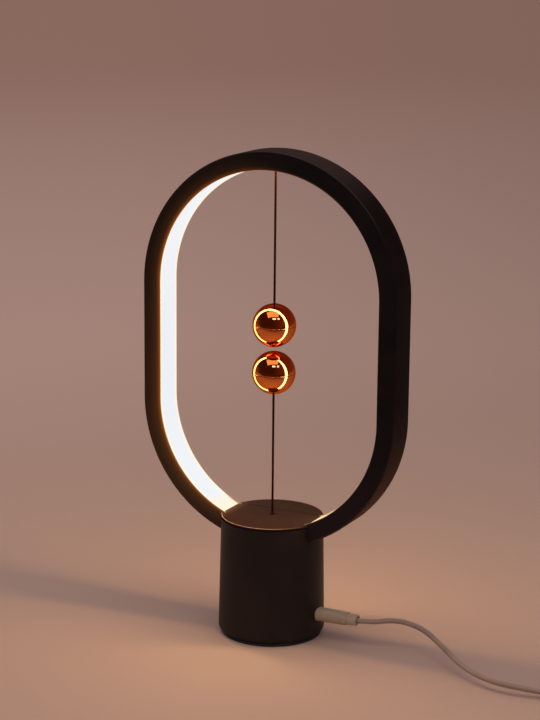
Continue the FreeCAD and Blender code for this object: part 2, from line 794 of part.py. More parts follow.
switch_top = rod_tip - gap - lever_climb - lever_rise
switch_floor = switch_top - switch_height
switch_x = (-switch_behind, switch_length - switch_behind)
lever_pivot = V(-lever_reach, 0, switch_top + lever_rise)
lever_lift = rod_tip - gap - lever_thickness / 2 - lever_pivot.z
lever_angle = math.degrees(math.asin(lever_lift / lever_reach))
button_x = lever_pivot.x + button_place
button_travel = plunger_travel * button_place / lever_reach
button_top = lever_pivot.z + lever_lift * button_place / lever_reach - lever_thickness / 2 - gap
bracket_y = switch_width / 2 + gap
bracket_screw_y = bracket_upper + bracket_thickness + bracket_screw_out
bracket_screws_x = (switch_x[0] + bracket_screw_inset, switch_x[1] - bracket_screw_inset)
switch_screws_x = [sum(switch_x) / 2 + side * switch_screw_spacing / 2 for side in (-1, 1)]
switch_screw_z = switch_floor + switch_screw_height
tags_x = (switch_x[0] + tag_inset, sum(switch_x) / 2, switch_x[1] - tag_inset)
tag_end = switch_floor - tag_length


def make_micro_switch():
    """Snap-action switch: housing with two screw holes, lever ears, button bore and three tags."""
    half = switch_width / 2
    body = box(switch_x, (-half, half), (switch_floor, switch_top))
    ears = [centred_box((ear_length, ear_width, ear_height), (lever_pivot.x, y), switch_top)
            for y in (ear_width / 2 - half, half - ear_width / 2)]
    tags = [centred_box((tag_thickness, tag_width, tag_length), (x, 0), tag_end) for x in tags_x]
    pin_hole = post(lever_pin + running, 0, switch_width)
    pin_hole = in_line(pin_hole, lever_pivot.x, -half, lever_pivot.z, ALONG_Y)
    bore_floor = button_top - button_depth - button_travel - gap
    bore = post(button_radius + running, bore_floor, switch_top, button_x)
    screws = [in_line(post(small_screw + fit, 0, switch_width), x, -half, switch_screw_z, ALONG_Y)
              for x in switch_screws_x]
    return body.fuse(ears + tags).cut([pin_hole, bore] + screws)


def make_switch_lever():
    """Flat spring lever on its pin, reaching under the plunger's tip."""
    pin = in_line(post(lever_pin, 0, switch_width), lever_pivot.x, -switch_width / 2, lever_pivot.z, ALONG_Y)
    strip = box((lever_pivot.x, lever_overhang), (-lever_half_width, lever_half_width),
                (lever_pivot.z - lever_thickness / 2, lever_pivot.z + lever_thickness / 2))
    return pin.fuse(turned_about(strip, lever_pivot, ALONG_Y, -lever_angle))


def make_switch_button():
    """Round button with a domed top, under the lever."""
    dome = Part.makeSphere(button_radius, V(button_x, 0, button_top - button_radius))
    return post(button_radius, button_top - button_depth, button_top - button_radius, button_x).fuse(dome)


def make_switch_bracket():
    """Stepped sheet-metal bracket from the saddle's underside to the switch's side."""
    thick = bracket_thickness
    shelf = switch_top + bracket_shelf_gap
    upper_back = bracket_upper + thick
    lower = box(switch_x, (bracket_y, bracket_y + thick), (switch_floor, shelf + thick))
    step = box(switch_x, (bracket_y, upper_back), (shelf, shelf + thick))
    upper = box(switch_x, (bracket_upper, upper_back), (shelf, saddle_floor))
    flange = box(switch_x, (bracket_upper, upper_back + bracket_flange), (saddle_floor - thick, saddle_floor))
    holes = [in_line(post(small_screw + fit, 0, thick), x, bracket_y, switch_screw_z, ALONG_Y)
             for x in switch_screws_x]
    holes += [post(small_screw + fit, saddle_floor - thick, saddle_floor, x, bracket_screw_y)
              for x in bracket_screws_x]
    return lower.fuse([step, upper, flange]).cut(holes)


def make_switch_screws():
    """Two screws through the switch into its bracket."""
    body = pan_screw(small_screw, switch_width + bracket_thickness)
    return Part.makeCompound([in_line(body, x, -switch_width / 2, switch_screw_z, V(0, -1, 0))
                              for x in switch_screws_x])


def make_bracket_screws():
    """Two screws up through the bracket's flange into the saddle."""
    body = pan_screw(small_screw, bracket_thickness + bracket_screw_bite)
    seat = saddle_floor - bracket_thickness
    return Part.makeCompound([in_line(body, x, bracket_screw_y, seat, V(0, 0, -1))
                              for x in bracket_screws_x])


# ---------------------------------------------------------------- driver
def make_driver_board():
    """Circuit board under the inlet, with holes for its two screws."""
    board = box((board_inner, board_outer), (-board_half_width, board_half_width), (board_floor, board_top))
    return board.cut([post(small_screw + fit, board_floor, board_top, board_post_x, side * board_post_side)
                      for side in (-1, 1)])


def make_board_parts():
    """Wire header, choke, chip and capacitor on the board."""
    return Part.makeCompound([
        centred_box(header_size, (header_x, 0), board_top),
        centred_box(choke_size, (board_inner + choke_inset, choke_side), board_top),
        centred_box(chip_size, (board_inner + chip_inset, -chip_side), board_top),
        post(capacitor_radius, board_top, board_top + capacitor_height,
             board_inner + capacitor_inset, capacitor_side),
    ])


def make_board_pad():
    """Foam block between the ballast and the board's inner end."""
    return box((board_inner, board_inner + pad_length), (-board_half_width, board_half_width),
               (ballast_top, board_floor))


def make_board_screws():
    body = pan_screw(small_screw, board_thickness + board_screw_bite)
    return Part.makeCompound([moved(body, board_post_x, side * board_post_side, board_top)
                              for side in (-1, 1)])


def make_usb_jack():
    """Micro socket: a thin metal box open towards the port, with a tongue inside."""
    back = jack_front - jack_length
    outer = rounded_bar(back, jack_length, jack_width, jack_tall, jack_wall, port_height)
    inner = box((back + jack_wall, jack_front), (jack_wall - jack_width / 2, jack_width / 2 - jack_wall),
                (board_top + jack_wall, port_height + jack_tall / 2 - jack_wall))
    return outer.cut(inner)


def make_led_wires():
    """A wire from each light strip, through the rim and down to the board's header."""
    start_x = strip_foot + wire_start
    start_z = ring_floor_height(strip_inner, strip_foot) + 2 * wire_radius
    hole_top = ring_floor_height(rim_inner, wire_place) + 5 * wire_radius
    left = [
        V(-start_x, 0, start_z),
        V(-wire_place, 0, hole_top),
        V(-wire_place, 0, wire_drop),
        V(-wire_place, -wire_bow, wire_turn),
        V(-wire_place + wire_lean, -wire_bow, wire_low),
        V(header_edge - wire_lean, -header_pin, header_middle),
        V(header_edge - free, -header_pin, header_middle),
    ]
    right = [
        V(start_x, 0, start_z),
        V(wire_place, 0, hole_top),
        V(wire_place, 0, wire_drop),
        V(wire_place, -wire_bow, wire_turn),
        V(header_x + wire_lean, -wire_bow, header_top + 2 * wire_loop),
        V(header_x, -header_pin, header_top + wire_loop),
        V(header_x, -header_pin, header_top + fit),
    ]
    return Part.makeCompound([lead_tube(left, wire_radius, "left light wire"),
                              lead_tube(right, wire_radius, "right light wire")])


def make_switch_wires():
    """Two wires from the switch's outer tags to the board's header."""
    far = [
        V(tags_x[0], 0, tag_end - fit),
        V(tags_x[0], 0, tag_end - tag_length),
        V(tags_x[0] + wire_lean, header_pin, header_middle),
        V(header_edge - free, header_pin, header_middle),
    ]
    near = [
        V(tags_x[2], 0, tag_end - fit),
        V(tags_x[2], 0, tag_end - tag_length),
        V(header_x, header_pin, header_top + wire_loop),
        V(header_x, header_pin, header_top + fit),
    ]
    return Part.makeCompound([lead_tube(far, wire_radius, "far switch wire"),
                              lead_tube(near, wire_radius, "near switch wire")])


# ---------------------------------------------------------------- balls and cords
def make_ball_half(middle, side):
    """Hollow half ball, above its middle for side +1 and below it for side -1."""
    centre = V(0, 0, middle)
    shell = Part.makeSphere(ball_radius, centre).cut(Part.makeSphere(ball_radius - ball_wall, centre))
    low, high = sorted((middle, middle + side * 2 * ball_radius))
    return shell.common(post(2 * ball_radius, low, high))


def make_holed_half(middle, side):
    """The half that the cord goes into."""
    far = middle + side * 2 * ball_radius
    low, high = sorted((middle, far))
    return make_ball_half(middle, side).cut(post(string_radius + string_hole_gap, low, high))


def make_ball_core(middle, side):
    """Filling of a ball with a pocket for the magnet and, on the cord's side, one for the ferrule."""
    core = Part.makeSphere(core_radius, V(0, 0, middle))
    magnet_back = middle - side * (magnet_reach - magnet_thickness - gap)
    magnet_far = middle - side * 2 * ball_radius
    ferrule_back = middle + side * (ferrule_end - ferrule_length - gap)
    ferrule_far = middle + side * 2 * ball_radius
    return core.cut([post(magnet_radius + gap, *sorted((magnet_back, magnet_far))),
                     post(ferrule_radius + free, *sorted((ferrule_back, ferrule_far)))])


def make_magnet(middle, side):
    ends = sorted((middle - side * magnet_reach, middle - side * (magnet_reach - magnet_thickness)))
    return post(magnet_radius, *ends)


def make_ferrule(middle, side):
    """Crimped sleeve on the cord's end that the ball turns on."""
    outer_end = middle + side * ferrule_end
    inner_end = outer_end - side * ferrule_length
    grip_end = outer_end - side * (string_grip + gap)
    return post(ferrule_radius, *sorted((inner_end, outer_end))).cut(
        post(string_radius + running, *sorted((outer_end, grip_end))))


def make_string(pivot, flat, middle, side):
    """Cord from its knot to the inside of the ball's ferrule."""
    knot_end = pivot - side * (flat + bead_gap)
    ball_end = middle + side * (ferrule_end - string_grip)
    return post(string_radius, *sorted((knot_end, ball_end)))


def make_bead(pivot, radius, flat, side):
    """Knot bead with a flat where the cord leaves it."""
    bead = Part.makeSphere(radius, V(0, 0, pivot))
    kept = sorted((pivot - side * flat, pivot + side * 2 * radius))
    return bead.common(post(2 * radius, *kept))


def make_anchor_bush():
    """Bush in the ring's boss: room for the knot above, a conical seat and a flared way out."""
    floor = upper_pivot - bush_below_pivot
    seat_top = upper_pivot - math.sqrt((upper_bead_radius + bead_gap) ** 2 - bush_seat ** 2)
    room = post(upper_bead_radius + bead_gap, seat_top, floor + bush_length)
    seat = taper(bush_neck, bush_seat, seat_top - seat_depth, seat_top)
    neck = post(bush_neck, floor, seat_top)
    return post(bush_radius, floor, floor + bush_length).cut([room, seat, neck])


# ---------------------------------------------------------------- power lead
def make_usb_tip():
    return box((grip_start - tip_length, grip_start), (-tip_width / 2, tip_width / 2),
               (port_height - tip_tall / 2, port_height + tip_tall / 2))


def make_plug_grip():
    """Rounded bar whose section shrinks evenly from the port to the strain relief."""
    ends = [rounded_bar(grip_start - 1, 1, grip_width, grip_tall, grip_corner, port_height),
            rounded_bar(grip_start + grip_length - 1, 1, grip_width * grip_taper, grip_tall * grip_taper,
                        grip_corner * grip_taper, port_height)]
    faces = [max(bar.Faces, key=lambda face: face.CenterOfMass.x) for bar in ends]
    return Part.makeLoft([face.OuterWire for face in faces], True, True)


def make_strain_relief():
    """Smaller step behind the grip, with a mouth around the lead."""
    start = grip_start + grip_length
    step = rounded_bar(start, relief_length, relief_width, relief_tall, relief_corner, port_height)
    mouth = in_line(post(relief_mouth, 0, relief_mouth_depth), lead_start, 0, port_height, ALONG_X)
    return step.cut(mouth)


def make_coil():
    """Outer shape of the wound lead: a ring with rounded edges, waisted where it is tied."""
    x, y = coil_middle
    ring = pipe(coil_outer, coil_inner, 0, coil_height, x, y)
    rims = [edge for edge in ring.Edges if edge.BoundBox.ZLength < 1e-6]
    ring = ring.makeFillet(lead_radius, rims)
    across = (x - tie_width / 2 - gap, x + tie_width / 2 + gap)
    cleared = box(across, (y, y + 2 * coil_outer), (0, coil_height))
    waist = box(across, (y + coil_inner + tie_thickness, y + coil_outer - tie_thickness),
                (tie_thickness, coil_height - tie_thickness))
    return ring.cut(cleared).fuse(waist)


def make_tie():
    """Flat strap around the coil's turns."""
    x, y = coil_middle
    half = tie_width / 2
    outer = box((x - half, x + half), (y + coil_inner, y + coil_outer), (0, coil_height))
    hole = box((x - half, x + half),
               (y + coil_inner + tie_thickness - fit, y + coil_outer - tie_thickness + fit),
               (tie_thickness - fit, coil_height - tie_thickness + fit))
    return outer.cut(hole)


def make_far_grip():
    """Moulded grip of the far plug, its corners rounded, with a tapered sleeve round the lead."""
    x, y = plug_place
    start = y + plug_relief_length
    grip = box((x - plug_width / 2, x + plug_width / 2), (start, start + plug_length), (0, plug_tall))
    grip = grip.makeFillet(plug_corner, long_edges(grip, ALONG_Y))
    sleeve = Part.makeCone(lead_radius + plug_sleeve_wall, lead_radius + 2 * plug_sleeve_wall,
                           plug_relief_length, V(x, y, plug_tall / 2), ALONG_Y)
    return grip.fuse(sleeve)


def make_far_shell():
    """Flat metal shell of the far plug, open at its end, with the contact tongue in it."""
    x, y = plug_place
    start = y + plug_relief_length + plug_length
    half = plug_shell_width / 2
    floor = (plug_tall - plug_shell_tall) / 2
    wall = plug_shell_wall
    outer = box((x - half, x + half), (start, start + plug_shell_length), (floor, floor + plug_shell_tall))
    inner = box((x - half + wall, x + half - wall), (start + wall, start + plug_shell_length),
                (floor + wall, floor + plug_shell_tall - wall))
    tongue = box((x - half + wall, x + half - wall), (start, start + plug_shell_length - 1),
                 (floor + wall, floor + wall + plug_tongue_tall))
    return outer.cut(inner).fuse(tongue)


# ---------------------------------------------------------------- all the pieces
whole_cap = make_whole_cap()
seam = half_depth + gap
left_strip = make_left_strip()

nodes = {
    "ring_body": make_ring_body(),
    "ring_back_cover": make_ring_back_cover(),
    "diffuser": make_diffuser(),
    "led_strip_left": left_strip,
    "led_strip_right": mirrored(left_strip),
    "leds": make_leds(),
    "anchor_bush": make_anchor_bush(),
    "base_shell": make_base_shell(),
    "base_cap_front": make_cap_half(whole_cap, -base_height, seam - cap_seam / 2),
    "base_cap_rear": make_cap_half(whole_cap, seam + cap_seam / 2, base_height),
    "cap_grommet": make_cap_grommet(),
    "bottom_cover": make_bottom_cover(),
    "foot_pad": post(cover_radius - gap, 0, foot_pad_thickness),
    "cover_screws": make_cover_screws(),
    "ballast": make_ballast(),
    "ballast_screw": make_ballast_screw(),
    "ring_saddle": make_saddle(),
    "saddle_screws": make_saddle_screws(),
    "ring_screws": make_ring_screws(),
    "plunger_guide": make_plunger_guide(),
    "guide_nut": make_guide_nut(),
    "switch_bracket": make_switch_bracket(),
    "bracket_screws": make_bracket_screws(),
    "micro_switch": make_micro_switch(),
    "switch_screws": make_switch_screws(),
    "driver_board": make_driver_board(),
    "board_parts": make_board_parts(),
    "board_pad": make_board_pad(),
    "board_screws": make_board_screws(),
    "usb_jack": make_usb_jack(),
    "led_wires": make_led_wires(),
    "switch_wires": make_switch_wires(),
    "switch_plunger": make_switch_plunger(),
    "plunger_cap": make_plunger_cap(),
    "plunger_collar": make_plunger_collar(),
    "return_spring": make_return_spring(),
    "switch_lever": make_switch_lever(),
    "switch_button": make_switch_button(),
    "upper_bead": make_bead(upper_pivot, upper_bead_radius, upper_flat, 1),
    "upper_string": make_string(upper_pivot, upper_flat, upper_ball, 1),
    "upper_ferrule": make_ferrule(upper_ball, 1),
    "upper_ball_top": make_holed_half(upper_ball, 1),
    "upper_ball_bottom": make_ball_half(upper_ball, -1),
    "upper_ball_core": make_ball_core(upper_ball, 1),
    "upper_magnet": make_magnet(upper_ball, 1),
    "lower_bead": make_bead(lower_pivot, lower_bead_radius, lower_flat, -1),
    "lower_string": make_string(lower_pivot, lower_flat, lower_ball, -1),
    "lower_ferrule": make_ferrule(lower_ball, -1),
    "lower_ball_top": make_ball_half(lower_ball, 1),
    "lower_ball_bottom": make_holed_half(lower_ball, -1),
    "lower_ball_core": make_ball_core(lower_ball, -1),
    "lower_magnet": make_magnet(lower_ball, -1),
    "usb_tip": make_usb_tip(),
    "usb_grip": make_plug_grip(),
    "strain_relief": make_strain_relief(),
    "lead": Part.makeCompound([lead_tube(lead_route, lead_radius, "lead"),
                               lead_tube(tail_route, lead_radius, "tail")]),
    "lead_coil": make_coil(),
    "lead_tie": make_tie(),
    "far_plug_grip": make_far_grip(),
    "far_plug_shell": make_far_shell(),
}

os.makedirs("parts", exist_ok=True)
for name, shape in nodes.items():
    shape.exportStep("parts/" + name + ".step")
    print(name, len(shape.Solids), round(shape.Volume, 1))
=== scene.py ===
"""Looks of the magnetic balance lamp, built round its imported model. Metres, +Z up, -Y to the ring's
front face, +X to the power lead."""

import json
import math

import bmesh
import bpy
import numpy as np
from mathutils import Matrix, Vector


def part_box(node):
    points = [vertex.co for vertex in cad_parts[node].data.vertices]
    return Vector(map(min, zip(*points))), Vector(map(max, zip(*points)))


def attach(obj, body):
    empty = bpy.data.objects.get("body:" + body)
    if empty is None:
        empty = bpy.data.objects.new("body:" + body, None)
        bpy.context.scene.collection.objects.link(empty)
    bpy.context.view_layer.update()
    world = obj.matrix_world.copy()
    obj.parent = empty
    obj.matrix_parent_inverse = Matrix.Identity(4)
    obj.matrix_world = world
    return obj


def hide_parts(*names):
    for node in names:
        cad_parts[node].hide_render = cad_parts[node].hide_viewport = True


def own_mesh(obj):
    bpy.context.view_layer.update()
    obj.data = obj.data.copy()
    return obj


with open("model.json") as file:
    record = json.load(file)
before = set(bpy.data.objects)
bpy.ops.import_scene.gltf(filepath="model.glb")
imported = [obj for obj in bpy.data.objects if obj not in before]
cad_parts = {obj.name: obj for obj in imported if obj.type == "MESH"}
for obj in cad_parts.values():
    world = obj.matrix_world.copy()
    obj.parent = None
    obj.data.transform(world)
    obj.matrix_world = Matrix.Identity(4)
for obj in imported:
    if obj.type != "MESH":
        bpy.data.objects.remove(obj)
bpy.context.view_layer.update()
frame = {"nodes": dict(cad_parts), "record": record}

MM = 0.001
TURN = 2 * math.pi

# The ring's main sizes, in millimetres. Its finish, its shape and its light all use them.
ring_outer = 112.5
ring_inner = 97.5
half_depth = 14.75
face_wall = 1.75
low_centre = 190.5
high_centre = 287.5


# ---------------------------------------------------------------- camera
# Its place is in metres, its lens and sensor are in the usual millimetres.
camera_place = Vector((0.69936, -1.40569, 0.58685))
camera_azimuth = math.radians(26.5666)
camera_elevation = math.radians(12.8136)
camera_roll = math.radians(0.5522)
camera_lens = 99.65
camera_sensor = 36.0


def direction(azimuth, elevation):
    """Unit vector of a direction. Azimuth 0 is on the -Y side and grows towards +X."""
    return Vector((math.sin(azimuth) * math.cos(elevation),
                   -math.cos(azimuth) * math.cos(elevation),
                   math.sin(elevation)))


def level_line(azimuth):
    """Level unit vector to the right of an eye that looks in from an azimuth."""
    return Vector((math.cos(azimuth), math.sin(azimuth), 0))


def placed(place, right, up, back):
    """World matrix of a camera or lamp at a place, whose own axes are right, up and back."""
    return Matrix.Translation(place) @ Matrix((right, up, back)).transposed().to_4x4()


def make_camera():
    """Camera that looks down at the lamp from the front right, turned slightly about its own axis."""
    back = direction(camera_azimuth, camera_elevation)
    level = level_line(camera_azimuth)
    upward = back.cross(level)
    right = level * math.cos(camera_roll) + upward * math.sin(camera_roll)
    up = upward * math.cos(camera_roll) - level * math.sin(camera_roll)
    data = bpy.data.cameras.new("camera")
    data.lens = camera_lens
    data.sensor_width = camera_sensor
    camera = bpy.data.objects.new("camera", data)
    camera.matrix_world = placed(camera_place, right, up, back)
    bpy.context.scene.collection.objects.link(camera)
    bpy.context.scene.camera = camera


make_camera()

# Cosine and sine of the camera's azimuth, for the colours of the stage that change along its look.
azimuth_cosine, azimuth_sine = 0.894, 0.447


# ---------------------------------------------------------------- finishes
class Value:
    """A number that changes over a surface. Arithmetic on it adds Math nodes to its finish."""

    def __init__(self, finish, socket):
        self.finish = finish
        self.socket = socket

    def _math(self, operation, *values):
        node = self.finish.node("ShaderNodeMath", {"operation": operation}, dict(enumerate(values)))
        return Value(self.finish, node.outputs[0])

    def __add__(self, other):
        return self._math("ADD", self, other)

    def __sub__(self, other):
        return self._math("SUBTRACT", self, other)

    def __rsub__(self, other):
        return self._math("SUBTRACT", other, self)

    def __mul__(self, other):
        return self._math("MULTIPLY", self, other)

    def __truediv__(self, other):
        return self._math("DIVIDE", self, other)

    __radd__ = __add__
    __rmul__ = __mul__

    def power(self, exponent):
        return self._math("POWER", self, exponent)

    def size(self):
        return self._math("ABSOLUTE", self)

    def sine(self):
        return self._math("SINE", self)

    def larger(self, other):
        return self._math("MAXIMUM", self, other)

    def smaller(self, other):
        return self._math("MINIMUM", self, other)

    def angle_to(self, other):
        return self._math("ARCTAN2", self, other)

    def rise(self, low, high):
        """0 below low, 1 above high and a smooth step between them."""
        node = self.finish.node("ShaderNodeMapRange", {"interpolation_type": "SMOOTHSTEP"},
                                {"Value": self, "From Min": low, "From Max": high})
        return Value(self.finish, node.outputs["Result"])

    def fall(self, low, high):
        """1 below low, 0 above high and a smooth step between them."""
        return 1.0 - self.rise(low, high)


class Finish:
    """A material of one Principled shader. What varies is linked, the rest is set on its sockets."""

    def __init__(self, name, **uniform):
        self.material = bpy.data.materials.new(name)
        self.material.use_nodes = True
        self.tree = self.material.node_tree
        self.shader = self.tree.nodes["Principled BSDF"]
        for socket, value in uniform.items():
            self.set(socket.replace("_", " "), value)

    def node(self, kind, settings=None, inputs=None):
        """A node of a kind: its settings first, then the values or links of its sockets."""
        node = self.tree.nodes.new(kind)
        for setting, value in (settings or {}).items():
            setattr(node, setting, value)
        for socket, value in (inputs or {}).items():
            self.join(node.inputs[socket], value)
        return node

    def join(self, socket, value):
        """A link from a Value or another socket, or else a plain value. Colours are opaque."""
        if isinstance(value, Value):
            value = value.socket
        if isinstance(value, bpy.types.NodeSocket):
            self.tree.links.new(value, socket)
            return
        if isinstance(value, tuple) and len(value) == 3 and len(socket.default_value) == 4:
            value = (*value, 1.0)
        socket.default_value = value

    def set(self, socket, value):
        self.join(self.shader.inputs[socket], value)

    def place(self):
        """Object coordinates, in metres, as a vector socket."""
        return self.node("ShaderNodeTexCoord").outputs["Object"]

    def axes(self):
        """Object coordinates as three Values."""
        split = self.node("ShaderNodeSeparateXYZ", None, {0: self.place()})
        return [Value(self, socket) for socket in split.outputs]

    def level_axes(self):
        """Object coordinates to the camera's right and away from it, on the level: two Values."""
        x, y, _ = self.axes()
        return x * azimuth_cosine + y * azimuth_sine, y * azimuth_cosine - x * azimuth_sine

    def noise(self, scale, detail, roughness):
        """Cloudy noise from 0 to 1. scale is its cells in a metre."""
        node = self.node("ShaderNodeTexNoise", None, {
            "Vector": self.place(), "Scale": scale, "Detail": detail, "Roughness": roughness})
        return Value(self, node.outputs["Fac"])

    def grain(self, scales, detail, roughness):
        """Noise drawn out along the axes: scales are its cells in a metre along X, Y and Z."""
        drawn_out = self.node("ShaderNodeMapping", None, {"Vector": self.place(), "Scale": scales})
        node = self.node("ShaderNodeTexNoise", None, {
            "Vector": drawn_out.outputs[0], "Scale": 1.0, "Detail": detail, "Roughness": roughness})
        return Value(self, node.outputs["Fac"])

    def cells(self, scale):
        """Distance from the nearest of scattered points. scale is the points in a metre."""
        node = self.node("ShaderNodeTexVoronoi", None, {"Vector": self.place(), "Scale": scale})
        return Value(self, node.outputs["Distance"])

    def between(self, factor, first, second):
        """Colour between two colours. Sockets 6, 7 and 2 are the colour ones of a Mix node."""
        node = self.node("ShaderNodeMix", {"data_type": "RGBA"}, {0: factor, 6: first, 7: second})
        return node.outputs[2]

    def bump(self, height, depth, strength):
        """Fine relief. depth is what a height of 1 stands for, in metres."""
        node = self.node("ShaderNodeBump", None, {
            "Height": height, "Distance": depth, "Strength": strength})
        self.set("Normal", node.outputs[0])

    def spark_eroded(self, roughness):
        """Fine pits of a spark-eroded mould, and faint clouds in the gloss. Returns the clouds."""
        clouds = self.noise(38, 4, 0.6)
        pits = self.noise(2300, 3, 0.65)
        self.set("Roughness", clouds * 0.10 + pits * 0.08 + roughness)
        self.bump(pits + self.cells(1610) * 0.5, 0.00006, 0.55)
        return clouds


def ring_finish():
    """The ring's dark plastic, lighter and warmer near its foot, with a painted warm reflection of the
    lit floor low on its outer right face and a painted highlight on its top and front outer edge.

    Its inner lips carry a painted glow, emission that stands in for the light's warm spill and fades
    outwards over its face. A little of it crosses to the right of the arch, and the painted glow on the
    rear lip's wall beside the diffuser is brightest, with a painted bright brim on the front lip."""
    finish = Finish("ring_finish", Metallic=0.0, Specular_IOR_Level=0.10, Emission_Strength=1.0)
    inner, outer = ring_inner * MM, ring_outer * MM
    face, lip_wall = half_depth * MM, (half_depth - face_wall) * MM
    x, y, z = finish.axes()
    forward = 0.0 - y
    beyond = (z - high_centre * MM).larger(0.0) + (z - low_centre * MM).smaller(0.0)
    radius = (x * x + beyond * beyond).power(0.5)

    clouds = finish.spark_eroded(0.60)
    plain = finish.between(clouds.rise(0.35, 0.68), (0.0085, 0.0056, 0.0050), (0.0120, 0.0076, 0.0067))
    plain = finish.between(z.rise(0.10, 0.19), (0.0195, 0.0117, 0.0106), plain)
    # Painted reflection: the outer face low on the right is painted warm and light, standing in for the
    # lit floor's glow on it.
    low_down = z.fall(0.10, 0.26).power(2.4)
    painted_floor_glow = radius.rise(outer - 0.0015, outer - 0.0003) * low_down * x.rise(0.040, 0.047)
    plain = finish.between(painted_floor_glow, plain, (0.100, 0.037, 0.019))
    # Painted highlight: the ring's top and its front outer edge are painted lighter, where light
    # catches them.
    front_edge = forward.rise(face - 0.00095, face - 0.00025) * z.rise(0.325, 0.375)
    painted_edge_highlight = radius.rise(outer - 0.0009, outer - 0.0004) * front_edge
    painted_top_light = z.rise(0.355, 0.402) * radius.rise(outer - 0.0009, outer - 0.0001)
    painted_top_and_edge_light = painted_top_light.larger(painted_edge_highlight)
    finish.set("Base Color", finish.between(painted_top_and_edge_light * (clouds * 0.4 + 0.8), plain, (0.054, 0.032, 0.027)))

    # Painted glow: all the emission from here on is painted light of the diffuser on the plastic, not a
    # lamp.
    leftward = x.fall(-0.095, 0.03)
    upward = z.rise(0.13, 0.36)
    front = leftward * forward.rise(0.010, face - 0.00015)
    glow = finish.between(front * (1.0 - upward * 0.72), (0.0, 0.0, 0.0), (0.0216, 0.0070, 0.0017))
    wide = finish.between(upward, (0.055, 0.020, 0.0045), (0.030, 0.010, 0.0022))
    glow = finish.between(radius.fall(inner, inner + 0.012) * leftward, glow, wide)
    near = radius.fall(inner, inner + 0.005).power(2.0) * leftward
    glow = finish.between(near, glow, (0.19, 0.040, 0.003))
    arch = z.rise(0.345, 0.375) * x.rise(-0.01, 0.03)
    across = radius.fall(inner + 0.0003, inner + 0.0014) * arch
    glow = finish.between(across, glow, (0.048, 0.022, 0.012))

    lip = radius.fall(inner + 0.0001, inner + 0.0005) * (1.0 - x.rise(-0.01, 0.07) * 0.75)
    wall = radius.fall(inner + 0.0009, inner + 0.0013) * y.fall(lip_wall, lip_wall + 0.0003)
    lit = finish.between(z.rise(0.101, 0.108), (0.50, 0.24, 0.09), (1.0, 0.87, 0.70))
    behind = finish.between(wall, finish.between(lip, glow, (0.35, 0.205, 0.125)), lit)
    past_face = y.rise(0.00015 - face, 0.00155 - face)
    brim = finish.between(past_face, (0.27, 0.100, 0.022), (0.88, 0.64, 0.36))
    before = finish.between(lip, glow, brim)
    finish.set("Emission Color", finish.between(y.rise(-0.004, 0.004), before, behind))
    return finish.material


def base_finish():
    """The base's dark moulded plastic, a little warmer in places."""
    finish = Finish("base_finish", Metallic=0.0, Specular_IOR_Level=0.24)
    clouds = finish.spark_eroded(0.40)
    finish.set("Base Color", finish.between(
        clouds.rise(0.35, 0.68), (0.0130, 0.0072, 0.0064), (0.0175, 0.0096, 0.0082)))
    return finish.material


def cap_finish():
    """The cap's dark brown top, with a faint straight grain along X.

    It darkens towards the back, its seam is a fine dark line, its left side carries a painted warm glow
    of the ring's light, and its front rim carries a painted highlight."""
    finish = Finish("cap_finish", Metallic=0.0, Specular_IOR_Level=0.0)
    seam_line = 0.0149
    rim_start, rim_end, rim_fade = 0.04142, 0.04172, 0.00006
    coarse, fine = finish.grain((26, 620, 200), 5, 0.62), finish.grain((150, 2600, 900), 3, 0.6)
    streak = coarse * 0.65 + fine * 0.35
    x, y, _ = finish.axes()
    field = finish.between(streak.rise(0.36, 0.66), (0.0225, 0.0109, 0.0093), (0.0297, 0.0145, 0.0125))
    field = finish.between(y.rise(-0.032, 0.014) * 0.5, field, (0.0130, 0.0094, 0.0106))
    seam = (y - seam_line).size().fall(0.00035, 0.00055)
    field = finish.between(seam * 0.9, field, (0.0030, 0.0015, 0.0012))
    # Painted light: the left side is painted lighter and warmer, standing in for the glow of the ring's
    # left arm.
    field = finish.between(x.fall(-0.041, -0.029) * 0.6, field, (0.085, 0.044, 0.028))
    # Painted highlight: a thin bright line on the front of the rounded rim, where it catches the ring's
    # light.
    radius = (x * x + y * y).power(0.5)
    rim = radius.rise(rim_start, rim_start + rim_fade) - radius.rise(rim_end, rim_end + rim_fade)
    front = (x * -1.2 - y).rise(-0.03, 0.03)
    finish.set("Base Color", finish.between(rim * front, field, (0.44, 0.27, 0.185)))
    finish.set("Roughness", 0.44 + streak * 0.16)
    finish.bump(streak, 0.00008, 0.5)
    return finish.material


def diffuser_finish():
    """Opal strip lit from behind: even along its middle, warmer by the ring's lips and by the cap."""
    finish = Finish("diffuser_finish", Roughness=0.6, Specular_IOR_Level=0.05, Emission_Strength=1.0)
    x, y, z = finish.axes()
    edge = y.rise(0.0120, 0.0134).larger((0.0 - y).rise(0.0096, 0.0118))
    finish.set("Base Color", finish.between(edge, (0.05, 0.06, 0.10), (0.30, 0.22, 0.14)))
    foot = z.fall(0.100, 0.111)
    warm = finish.between(x.rise(0.0, 0.02), (0.92, 0.81, 0.58), (0.92, 0.60, 0.27))
    lit = finish.between(foot, (0.767, 0.80, 0.834), warm)
    cloud = finish.noise(60, 2, 0.5)
    finish.set("Emission Color", finish.between(edge * 0.96 + cloud * 0.03, lit, (1.04, 0.87, 0.69)))
    return finish.material


def copper_finish():
    """Copper mirror plating, with faint clouds in its gloss and very fine wiping marks."""
    finish = Finish("copper_finish", Metallic=1.0, IOR=1.5, Specular_Tint=(0.80, 0.44, 0.34))
    clouds = finish.noise(70, 3, 0.55)
    marks = finish.grain((260, 260, 2100), 2, 0.5)
    finish.set("Base Color", finish.between(clouds, (0.95, 0.285, 0.066), (0.92, 0.255, 0.056)))
    finish.set("Roughness", 0.05 + clouds * 0.02 + marks.rise(0.55, 0.8) * 0.02)
    finish.bump(marks, 0.000002, 0.25)
    return finish.material


# Threads of each set round a braided cord, and their turn in radians a millimetre.
braid_threads = 4
braid_pitch = 3.9


